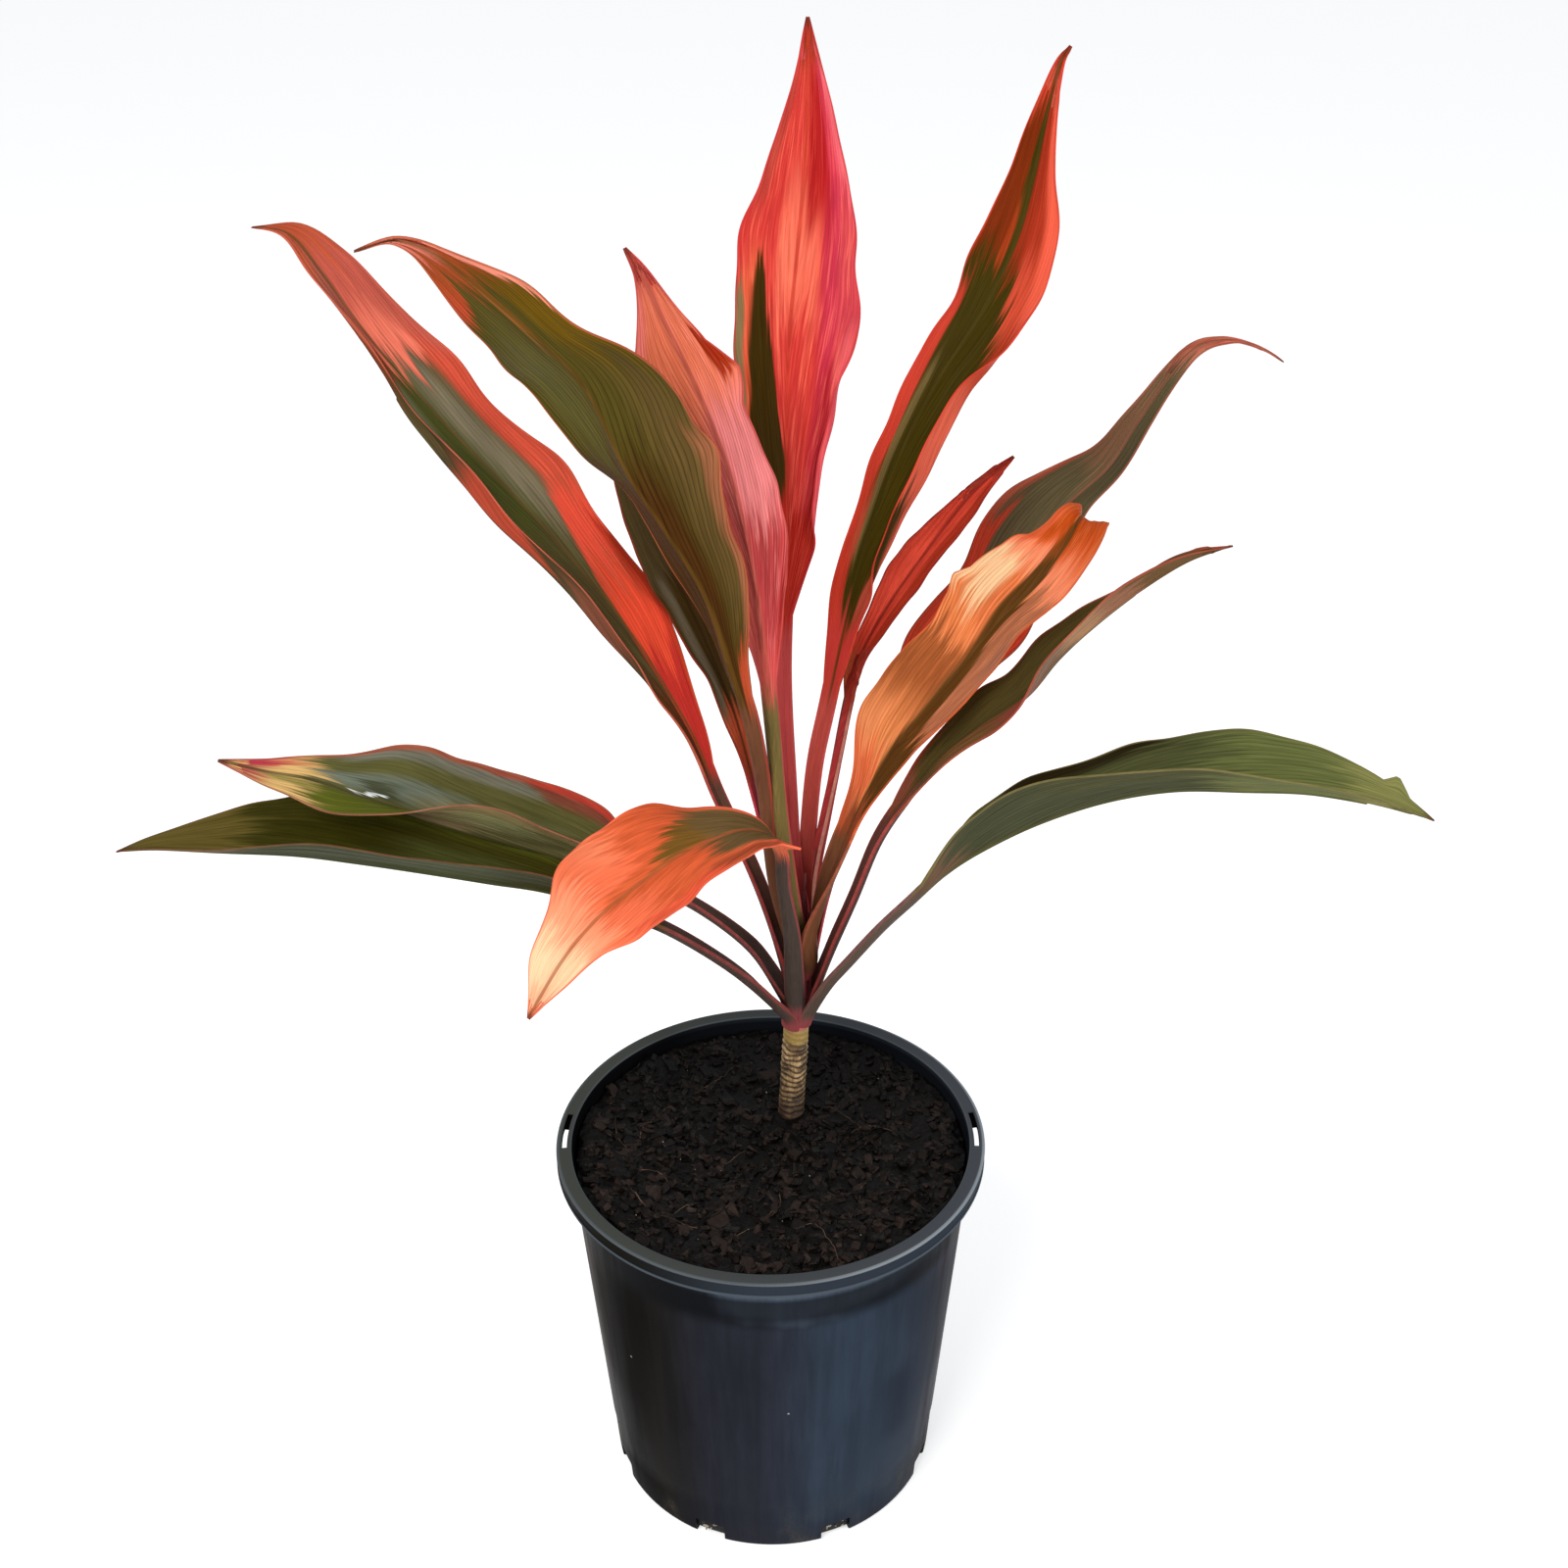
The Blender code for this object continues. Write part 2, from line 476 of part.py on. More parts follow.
def make_leaf(name, leaf):
    share = leaf["stalk"][0]
    fractions = list(share * np.linspace(0, 1, STALK_STATIONS, endpoint=False))
    fractions += list(share + (1 - share) * np.linspace(0, 1, BLADE_STATIONS))
    sheet, blade = leaf_sheet(leaf, fractions, COLUMNS)
    normal = sheet_normals(sheet)
    u = np.abs(np.array(COLUMNS))[None, :]
    opened = ease(blade / OPENING)[:, None]
    stalk = STALK_EDGE + (STALK_THICKNESS - STALK_EDGE) * (1 - u**2)
    rib = BLADE_THICKNESS + (RIB_THICKNESS - BLADE_THICKNESS) * (1 - blade[:, None]) * (u == 0)
    depth = (stalk * (1 - opened) + rib * opened)[:, :, None]
    upper = sheet + normal * BLADE_THICKNESS / 2
    lower = upper - normal * depth
    bm = bmesh.new()
    top = [[bm.verts.new(p) for p in row] for row in upper]
    bottom = [[bm.verts.new(p) for p in row] for row in lower]
    last = len(COLUMNS) - 1
    for i in range(len(fractions) - 1):
        for face in (top, bottom):
            for j in range(last):
                bm.faces.new((face[i][j], face[i][j + 1], face[i + 1][j + 1]))
                bm.faces.new((face[i][j], face[i + 1][j + 1], face[i + 1][j]))
        for j in (0, last):
            bm.faces.new((top[i][j], top[i + 1][j], bottom[i + 1][j]))
            bm.faces.new((top[i][j], bottom[i + 1][j], bottom[i][j]))
    for i in (0, len(fractions) - 1):
        for j in range(last):
            bm.faces.new((top[i][j], top[i][j + 1], bottom[i][j + 1], bottom[i][j]))
    obj = new_object(name, bm, new_material(name + "_skin", leaf["colour"], 0.42))
    obj.data.shade_smooth()


def main():
    clear_scene()
    make_pot()
    make_potting_mix()
    make_cane()
    for name, leaf in LEAVES.items():
        make_leaf(name, leaf)


main()
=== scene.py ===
import math
import random

import bpy
import numpy as np
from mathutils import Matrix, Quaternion, Vector, noise


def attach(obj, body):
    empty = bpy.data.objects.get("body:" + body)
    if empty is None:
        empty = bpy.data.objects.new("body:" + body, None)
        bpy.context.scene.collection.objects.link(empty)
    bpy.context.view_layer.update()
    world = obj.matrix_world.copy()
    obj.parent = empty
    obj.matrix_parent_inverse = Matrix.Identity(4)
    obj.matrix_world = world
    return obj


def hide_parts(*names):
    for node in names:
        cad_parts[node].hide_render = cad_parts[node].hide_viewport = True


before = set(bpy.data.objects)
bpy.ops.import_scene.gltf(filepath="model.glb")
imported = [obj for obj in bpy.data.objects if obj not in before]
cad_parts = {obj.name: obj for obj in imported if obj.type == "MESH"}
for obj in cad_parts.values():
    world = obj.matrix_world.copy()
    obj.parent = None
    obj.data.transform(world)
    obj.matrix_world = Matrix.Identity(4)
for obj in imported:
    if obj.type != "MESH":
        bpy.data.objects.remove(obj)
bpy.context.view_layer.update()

mm = 0.001  # sizes below are in millimetres


# Small helpers

def deselectAll():
    bpy.ops.object.select_all(action="DESELECT")


def startEdit():
    bpy.ops.object.mode_set(mode="EDIT")
    bpy.ops.mesh.select_all(action="SELECT")


def endEdit():
    bpy.ops.mesh.select_all(action="SELECT")
    bpy.ops.mesh.normals_make_consistent(inside=False)
    bpy.ops.object.mode_set(mode="OBJECT")


def addGrid(columns, rows):
    deselectAll()
    bpy.ops.mesh.primitive_grid_add(x_subdivisions=columns, y_subdivisions=rows, size=2)
    piece = bpy.context.active_object
    return piece, vertexPlaces(piece)


def applyModifier(piece, kind, **settings):
    modifier = piece.modifiers.new(kind.lower(), kind)
    for key, value in settings.items():
        setattr(modifier, key, value)
    bpy.context.view_layer.objects.active = piece
    bpy.ops.object.modifier_apply(modifier=modifier.name)


def vertexPlaces(piece):
    places = np.empty(len(piece.data.vertices) * 3)
    piece.data.vertices.foreach_get("co", places)
    return places.reshape(-1, 3)


def setVertexPlaces(piece, places):
    piece.data.vertices.foreach_set("co", np.asarray(places, float).ravel())
    piece.data.update()


def addAttribute(piece, name, values, kind="FLOAT_VECTOR"):
    layer = piece.data.attributes.new(name, kind, "POINT")
    layer.data.foreach_set("vector" if kind == "FLOAT_VECTOR" else "value", np.asarray(values, float).ravel())


def selectPieces(pieces):
    deselectAll()
    for piece in pieces:
        piece.select_set(True)
    bpy.context.view_layer.objects.active = pieces[0]


def joinPieces(pieces):
    selectPieces(pieces)
    bpy.ops.object.join()
    return pieces[0]


def addObject(name, data):
    thing = bpy.data.objects.new(name, data)
    bpy.context.scene.collection.objects.link(thing)
    return thing


def finishPiece(piece, name, material, node=None, smooth=None):
    selectPieces([piece])
    bpy.ops.object.transform_apply(location=True, rotation=True, scale=True)
    piece.name = name
    piece.data.name = name
    piece.data.materials.clear()
    piece.data.materials.append(material)
    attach(piece, "root")
    if node:
        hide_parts(node)
    if smooth:
        bpy.ops.object.shade_smooth_by_angle(angle=math.radians(smooth))


# Material helpers: each node joins the tree of the sockets that feed it

def hexColour(code):
    parts = [int(code[k:k + 2], 16) / 255 for k in (1, 3, 5)]
    return (*[c / 12.92 if c <= 0.04045 else ((c + 0.055) / 1.055) ** 2.4 for c in parts], 1.0)


def newMaterial(name, roughness, specular=None):
    material = bpy.data.materials.new(name)
    material.use_nodes = True
    shader = material.node_tree.nodes["Principled BSDF"]
    shader.inputs["Roughness"].default_value = roughness
    if specular is not None:
        shader.inputs["Specular IOR Level"].default_value = specular
    return material, shader


def objectPlace(shader):
    return shader.id_data.nodes.new("ShaderNodeTexCoord").outputs["Object"]


def readAttribute(shader, name, output="Vector"):
    node = shader.id_data.nodes.new("ShaderNodeAttribute")
    node.attribute_name = name
    return node.outputs[output]


def addNode(kind, inputs, **settings):
    sockets = {key: value for key, value in inputs.items() if isinstance(value, bpy.types.NodeSocket)}
    tree = next(iter(sockets.values())).id_data
    node = tree.nodes.new(kind)
    for key, value in settings.items():
        setattr(node, key, value)
    for key, value in inputs.items():
        if key in sockets:
            tree.links.new(value, node.inputs[key])
        else:
            node.inputs[key].default_value = value
    return node


def plug(value, shader, name):
    shader.id_data.links.new(value, shader.inputs[name])


def calc(operation, a, b=0.0, c=0.0):
    return addNode("ShaderNodeMath", {0: a, 1: b, 2: c}, operation=operation).outputs[0]


def times(a, b):
    return calc("MULTIPLY", a, b)


def timesPlus(a, b, c):
    return calc("MULTIPLY_ADD", a, b, c)


def drift(value, pattern, amount):
    # a pattern from 0 to 1 moves the value to either side
    return timesPlus(pattern, amount, calc("SUBTRACT", value, amount / 2))


def splitVector(vector):
    return addNode("ShaderNodeSeparateXYZ", {0: vector}).outputs


def smoothStep(value, low, high, toLow=0.0, toHigh=1.0):
    inputs = {"Value": value, "From Min": low, "From Max": high, "To Min": toLow, "To Max": toHigh}
    return addNode("ShaderNodeMapRange", inputs, interpolation_type="SMOOTHSTEP").outputs[0]


def mixColour(factor, under, over, how="MIX"):
    under, over = [hexColour(c) if isinstance(c, str) else c for c in (under, over)]
    return addNode("ShaderNodeMix", {0: factor, 6: under, 7: over},
                   data_type="RGBA", blend_type=how).outputs[2]


def tint(colour, value, code, start, full, strength=1.0):
    return mixColour(smoothStep(value, start, full, 0.0, strength), colour, code)


def shade(colour, tone):
    return addNode("ShaderNodeHueSaturation", {"Value": tone, "Color": colour}).outputs[0]


def noiseOn(vector, scale, detail=2.0, rough=0.5, shift=(0, 0, 0)):
    if isinstance(scale, tuple):
        vector = addNode("ShaderNodeVectorMath", {0: vector, 1: scale, 2: shift},
                         operation="MULTIPLY_ADD").outputs[0]
        scale = 1.0
    inputs = {"Vector": vector, "Scale": scale, "Detail": detail, "Roughness": rough}
    return addNode("ShaderNodeTexNoise", inputs).outputs[0]


def addBump(shader, height, depth, strength):
    node = addNode("ShaderNodeBump", {"Height": height, "Distance": depth, "Strength": strength})
    plug(node.outputs[0], shader, "Normal")


# A patch of paint is a colour, its start and end along the piece, its bounds across it (left at the start and
# the end, then right) and, unless they are the plain ones, its softness and strength, all in hundredths.
plainPatch = (6, 100)  # softness and strength
openBound = 1.2  # a bound past this isn't drawn
whole = (-130, -130, 130, 130)


def upTo(start, end=None):
    return *whole[:2], start, start if end is None else end


def beyond(start, end=None):
    return start, start if end is None else end, *whole[2:]


def paintPatches(patches, along, across):
    colour = hexColour(patches[0])
    for code, start, end, bounds, *rest in patches[1:]:
        start, end, left0, left1, right0, right1 = [value / 100 for value in (start, end, *bounds)]
        soft, strength = [value / 100 for value in (*rest, *plainPatch[len(rest):])]
        mask = times(smoothStep(along, start - soft / 2, start + soft / 2),
                     smoothStep(along, end + soft / 2, end - soft / 2, 0.0, strength))
        for near, far, direction in ((left0, left1, 1), (right0, right1, -1)):
            if abs(near) > openBound:
                continue
            slope = (far - near) / (end - start)
            step = calc("SUBTRACT", across, timesPlus(along, slope, near - slope * start))
            mask = times(mask, smoothStep(step, -direction * soft, direction * soft))
        colour = mixColour(mask, colour, code)
    return colour


# Camera, light and floor, as a studio cut-out on white

view = dict(place=(0.0071, -0.7216, 0.7775), tilt=60.83, roll=-0.29, lens=45.0, clip=0.01)
studio = dict(sky=(0.95, 0.975, 1.0, 1.0), skyStrength=0.5, floorSize=60, floorTone=0.9, floorGlow=0.5)
lamps = dict(
    key=dict(place=(-1.1, -1.6, 2.1), target=(0, 0, 0.35), size=(1.5, 1.2), power=42,
             colour=(1.0, 0.97, 0.94)),
    strip=dict(place=(1.8, -1.3, 0.9), target=(0, 0, 0.3), size=(0.5, 1.6), power=17,
               colour=(0.95, 0.97, 1.0)))


def addCamera():
    data = bpy.data.cameras.new("view")
    camera = addObject("view", data)
    data.lens = view["lens"]
    data.clip_start = view["clip"]
    camera.location = view["place"]
    camera.rotation_mode = "QUATERNION"
    tilt = Quaternion((1, 0, 0), math.radians(view["tilt"]))
    camera.rotation_quaternion = tilt @ Quaternion((0, 0, 1), math.radians(view["roll"]))
    bpy.context.scene.camera = camera


def addLamp(name, lamp):
    data = bpy.data.lights.new(name, "AREA")
    data.shape = "RECTANGLE"
    data.size, data.size_y = lamp["size"]
    data.energy = lamp["power"]
    data.color = lamp["colour"]
    light = addObject(name, data)
    light.location = lamp["place"]
    aim = Vector(lamp["target"]) - Vector(lamp["place"])
    light.rotation_euler = aim.to_track_quat("-Z", "Y").to_euler()


def addStudio():
    bpy.context.scene.view_settings.view_transform = "Standard"
    world = bpy.data.worlds.new("studio")
    bpy.context.scene.world = world
    world.use_nodes = True
    background = world.node_tree.nodes["Background"]
    background.inputs["Color"].default_value = studio["sky"]
    background.inputs["Strength"].default_value = studio["skyStrength"]
    for name, lamp in lamps.items():
        addLamp(name, lamp)
    deselectAll()
    bpy.ops.mesh.primitive_plane_add(size=studio["floorSize"])
    floor = bpy.context.active_object
    floor.name = "floor"
    material, shader = newMaterial("pale_floor", 0.9, 0.0)
    shader.inputs["Base Color"].default_value = (*[studio["floorTone"]] * 3, 1.0)
    shader.inputs["Emission Color"].default_value = (1.0, 1.0, 1.0, 1.0)
    shader.inputs["Emission Strength"].default_value = studio["floorGlow"]
    floor.data.materials.append(material)


# The leaves' shape: a rib, two half blades and a channelled stalk

crown = dict(foot=(8.4, 29.7, 150.0), lean=0.05, radius=5.6, height=226.0, tip=312.0)
sheetSizes = dict(clearance=0.3, seatRise=8.0, seatSink=1.4, seatSpread=0.15, blade=0.9, rib=2.4,
                  ribReach=1.7, stalk=2.8, stalkEdge=1.2, stalkFold=24.0, opening=0.16, tipHalf=0.3,
                  thinEdge=0.25, thinTip=0.6, groove=0.5, pleat=0.16, veins=(24, 20), ripple=0.03,
                  ripples=(5.5, 9.3), hemEase=(0.1, 0.24, 0.2), stalkRows=34, bladeRows=140,
                  columns=19, smooth=50)


def crownCentre(height):
    footX, footY, footZ = crown["foot"]
    return footX + crown["lean"] * (height - footZ), footY


def crownRadius(height):
    if height <= crown["height"]:
        return crown["radius"]
    rest = (crown["tip"] - height) / (crown["tip"] - crown["height"])
    return max(0.6, crown["radius"] * rest ** 0.9)


def ease(x):
    x = np.clip(x, 0, 1)
    return x * x * (3 - 2 * x)


def smoothPath(points, fractions):
    p = np.array(points, float)
    ends = np.vstack([2 * p[0] - p[1], p, 2 * p[-1] - p[-2]])
    t = np.linspace(0, 1, 25)[:, None]
    runs = []
    for a, b, c, d in zip(ends, ends[1:], ends[2:], ends[3:]):
        runs.append(0.5 * (2 * b + (c - a) * t + (2 * a - 5 * b + 4 * c - d) * t**2
                           + (3 * b - a - 3 * c + d) * t**3))
    dense = np.vstack([runs[0]] + [run[1:] for run in runs[1:]])
    length = np.r_[0, np.cumsum(np.linalg.norm(np.diff(dense, axis=0), axis=1))]
    where = np.array(fractions) * length[-1]
    return np.stack([np.interp(where, length, dense[:, k]) for k in range(3)], axis=1)


def through(values, where):
    steps = np.linspace(0, 1e4, len(values))  # long, so that its length is the first coordinate
    return smoothPath([(s, v, 0) for s, v in zip(steps, values)], where)[:, 1]


def seatedRib(leaf):
    size = sheetSizes
    angle, height = leaf["seat"]
    turn = math.radians(angle)
    outside = crownRadius(height) + size["clearance"] + size["blade"]
    points = []
    for rise, reach in ((0, outside - size["seatSink"]),
                        (size["seatRise"], outside + size["seatSpread"] * size["seatRise"])):
        x, y = crownCentre(height + rise)
        points.append((x + reach * math.cos(turn), y + reach * math.sin(turn), height + rise))
    return points + leaf["rib"]


def leafFrame(path, heading, roll):
    along = np.gradient(path, axis=0)
    along /= np.linalg.norm(along, axis=1)[:, None]
    turn = np.radians(heading)
    side = np.stack([np.sin(turn), -np.cos(turn), np.zeros(len(turn))], axis=1)
    right = side - along * np.sum(along * side, axis=1)[:, None]
    right /= np.linalg.norm(right, axis=1)[:, None]
    up = np.cross(right, along)
    roll = np.radians(roll)[:, None]
    return right * np.cos(roll) + up * np.sin(roll), up * np.cos(roll) - right * np.sin(roll)


def veinCount(u, t):
    across, leaving = sheetSizes["veins"]  # over half a blade, and how many run out at the margin
    return across * abs(u) - leaving * t


def halfWidth(leaf, u, blade, stalk, swing):
    size = sheetSizes
    _, seatHalf, neckHalf = leaf["stalk"]
    side = -1 if u < 0 else 1
    start = leaf["wave"][2]
    first, second = size["ripples"]
    half = through((neckHalf, *leaf["right" if u > 0 else "left"], size["tipHalf"]), blade)
    ripple = np.sin(math.tau * (first * blade + 2 * start + 0.4 * side))
    ripple = ripple + 0.5 * np.sin(math.tau * second * blade + start)
    half = half * (1 + size["ripple"] * ripple * u * u * swing * leaf.get("ripple", 1.0))
    for earSide, middle, reach, extra in leaf.get("ears", ()):
        if earSide == side:
            half = half + extra * np.maximum(0, 1 - abs(blade - middle) / reach) * ease((abs(u) - 0.7) * 4)
    return np.where(blade > 0, half, seatHalf + (neckHalf - seatHalf) * ease(stalk * 1.4))


def leafSheet(leaf, fractions, columns):
    # the middle sheet, rows along the leaf and columns across it, with the half width of each point
    size = sheetSizes
    share = leaf["stalk"][0]
    blade = np.clip((fractions - share) / (1 - share), 0, 1)
    stalk = np.clip(fractions / share, 0, 1)
    path = smoothPath(seatedRib(leaf), fractions)
    seatAngle = leaf["seat"][0]
    turnedAway = (leaf["heading"] - seatAngle + 180) % 360 - 180
    heading = seatAngle + turnedAway * ease(stalk * 1.2 - 0.1)
    right, up = leafFrame(path, heading, through(leaf["roll"], blade) * ease(stalk * 1.2 - 0.2))
    opened = ease(blade / size["opening"])
    fold = size["stalkFold"] * ease(stalk / 0.4) * (1 - opened) + opened * through(leaf["fold"], blade)
    height, count, start = leaf["wave"]
    swing = np.sin(np.pi * blade) ** 0.7
    steps = (np.arange(48) + 0.5) / 48
    sheet = np.zeros((len(fractions), len(columns), 3))
    halves = np.zeros((len(fractions), len(columns)))
    for column, u in enumerate(columns):
        side = -1 if u < 0 else 1
        half = halfWidth(leaf, u, blade, stalk, swing)
        across = abs(u) * steps[None, :]
        clasp = np.degrees(half / crown["radius"]) * (1 - ease(stalk / 0.3))
        bend = fold[:, None] + (leaf["curl"] * opened + clasp)[:, None] * across
        if leaf.get("hem", (0,))[0] == side:
            _, angle, first, last, begins = leaf["hem"]
            startEase, endEase, foldEase = size["hemEase"]
            window = ease((blade - first) / startEase) * ease((last - blade) / endEase)
            bend = bend + angle * ease((across - begins) / foldEase) * window[:, None]
        bend = np.radians(bend)
        outward = half * abs(u) * np.cos(bend).mean(axis=1)
        upward = half * abs(u) * np.sin(bend).mean(axis=1)
        upward += height * u * u * swing * np.sin(math.tau * (count * blade + start + 0.37 * (side > 0)))
        upward += size["pleat"] * opened * np.sin(veinCount(u, blade) * 0.9) * min(1, abs(u) * 4)
        upward -= size["groove"] * opened * (1 - blade) * math.exp(-(abs(u) * 9) ** 2)
        sheet[:, column] = path + right * (side * outward)[:, None] + up * upward[:, None]
        halves[:, column] = half
    return sheet, blade, stalk, halves


def makeLeaf(name, leaf):
    size = sheetSizes
    share = leaf["stalk"][0]
    fractions = np.r_[share * np.linspace(0, 1, size["stalkRows"], endpoint=False),
                      share + (1 - share) * np.linspace(0, 1, size["bladeRows"])]
    inner = np.linspace(0, 1, size["columns"]) ** 0.9
    columns = np.r_[-inner[:0:-1], inner]
    sheet, blade, stalk, halves = leafSheet(leaf, fractions, columns)
    piece, flat = addGrid(len(columns) - 1, len(fractions) - 1)
    column = np.rint((flat[:, 0] + 1) / 2 * (len(columns) - 1)).astype(int)
    row = np.rint((flat[:, 1] + 1) / 2 * (len(fractions) - 1)).astype(int)
    normal = np.cross(np.gradient(sheet, axis=1), np.gradient(sheet, axis=0))
    normal /= np.linalg.norm(normal, axis=2)[:, :, None]
    upper = sheet + normal * size["blade"] / 2
    setVertexPlaces(piece, upper[row, column] * mm)
    u = columns[column]
    t = np.where(blade > 0, blade, stalk - 1)[row]
    half = halves[row, column]
    addAttribute(piece, "grain", np.stack([u, t, veinCount(u, t)], axis=1))
    opened = ease(blade / size["opening"])[row]
    stalkDepth = size["stalkEdge"] + (size["stalk"] - size["stalkEdge"]) * (1 - u**2)
    thin = (size["blade"] - size["thinEdge"] * abs(u)) * (1 - size["thinTip"] * np.clip(t, 0, 1) ** 12)
    ridge = (size["rib"] - thin) * (1 - np.clip(t, 0, 1))
    ridge *= np.exp(-(abs(u) * half / size["ribReach"]) ** 2)
    depth = stalkDepth * (1 - opened) + (thin + ridge) * opened
    group = piece.vertex_groups.new(name="depth")
    for index, value in enumerate(depth / size["stalk"]):
        group.add([index], float(value), "REPLACE")
    applyModifier(piece, "SOLIDIFY", thickness=size["stalk"] * mm, offset=-1, vertex_group="depth")
    under = (np.arange(len(piece.data.vertices)) >= len(u)).astype(float)
    reach = [np.tile(abs(u) * half, 2), np.tile((1 - abs(u)) * half, 2), under]
    addAttribute(piece, "reach", np.stack(reach, axis=1))
    finishPiece(piece, name + "_blade", leafMaterial(name, leaf), name, smooth=size["smooth"])


# What the leaves' skins share. A layer is its colour, unless the leaf gives that, then where it starts and
# where it is full (in millimetres from rib or margin, as a share of the half width or along the leaf) and
# its strength.
leafSkin = dict(coarse=(1.8, 3.5, 0.30), fine=(3.0, 10.0, 1.15), seedStep=3.7, drift=0.16, fineDrift=0.14,
                blotch=(0.44, 0.70), blotchClouds=(0.40, 0.60, 0.1), blotchLight=(0.3, 0.6),
                veinPitch=0.62, veinLine=(0.30, 0.5), veinShade="#8A8078", veins=0.26,
                midrib=(1.3, 0.5, 0.75), margin=(0.8, 0.35, 0.8), stalkEdge=(0.78, 0.95, 0.85),
                neck=(0.02, -0.10), sheath=("#A0484C", -0.90, -0.98, 0.75),
                tip=("#5A2C1C", 0.975, 0.995, 0.7), tone=(0.80, 1.18), roughness=(0.38, 0.52), bump=0.00025)


def leafMaterial(name, leaf):
    skin = leafSkin
    material, shader = newMaterial(name + "_skin", 0.42, 0.02)
    grain = readAttribute(shader, "grain")
    across, along, vein = splitVector(grain)
    ribDistance, edgeDistance, under = splitVector(readAttribute(shader, "reach"))
    seed = leaf["seed"] * skin["seedStep"]
    coarse = noiseOn(grain, skin["coarse"], 1.0, shift=(seed, 0, 0))
    fine = noiseOn(grain, skin["fine"], 2.0, 0.6, shift=(0, seed, 0))
    shiftedAlong = drift(drift(along, coarse, skin["drift"]), fine, skin["fineDrift"])
    shiftedAcross = drift(across, coarse, skin["drift"])
    colour = mixColour(under, *[paintPatches(leaf[side], shiftedAlong, shiftedAcross)
                                for side in ("top", "under")])
    if "mottle" in leaf:
        code, strength = leaf["mottle"]
        blotch = times(smoothStep(fine, *skin["blotch"]), smoothStep(coarse, *skin["blotchClouds"], strength))
        bright = addNode("ShaderNodeSeparateColor", {0: colour}).outputs[0]
        colour = mixColour(times(blotch, smoothStep(bright, *skin["blotchLight"])), colour, code)
    line = calc("PINGPONG", times(vein, skin["veinPitch"]), 0.5)
    veinStrength = smoothStep(along, 0.0, 0.1, 0.4, leaf.get("veins", skin["veins"]))
    colour = mixColour(times(smoothStep(line, *skin["veinLine"]), veinStrength), colour,
                       skin["veinShade"], "MULTIPLY")
    colour = tint(colour, ribDistance, leaf["midrib"], *skin["midrib"])
    colour = tint(colour, edgeDistance, leaf["margin"], *skin["margin"])
    stalkColour, stalkEdge = leaf["stalkColours"]
    stalkPaint = tint(stalkColour, calc("ABSOLUTE", across), stalkEdge, *skin["stalkEdge"])
    colour = tint(colour, shiftedAlong, stalkPaint, *skin["neck"])
    colour = tint(colour, along, *skin["sheath"])
    colour = tint(colour, along, *skin["tip"])
    plug(shade(colour, smoothStep(fine, 0.25, 0.75, *skin["tone"])), shader, "Base Color")
    plug(smoothStep(coarse, 0.3, 0.7, *skin["roughness"]), shader, "Roughness")
    addBump(shader, timesPlus(line, -1.0, times(fine, 0.8)), skin["bump"], 0.6)
    return material


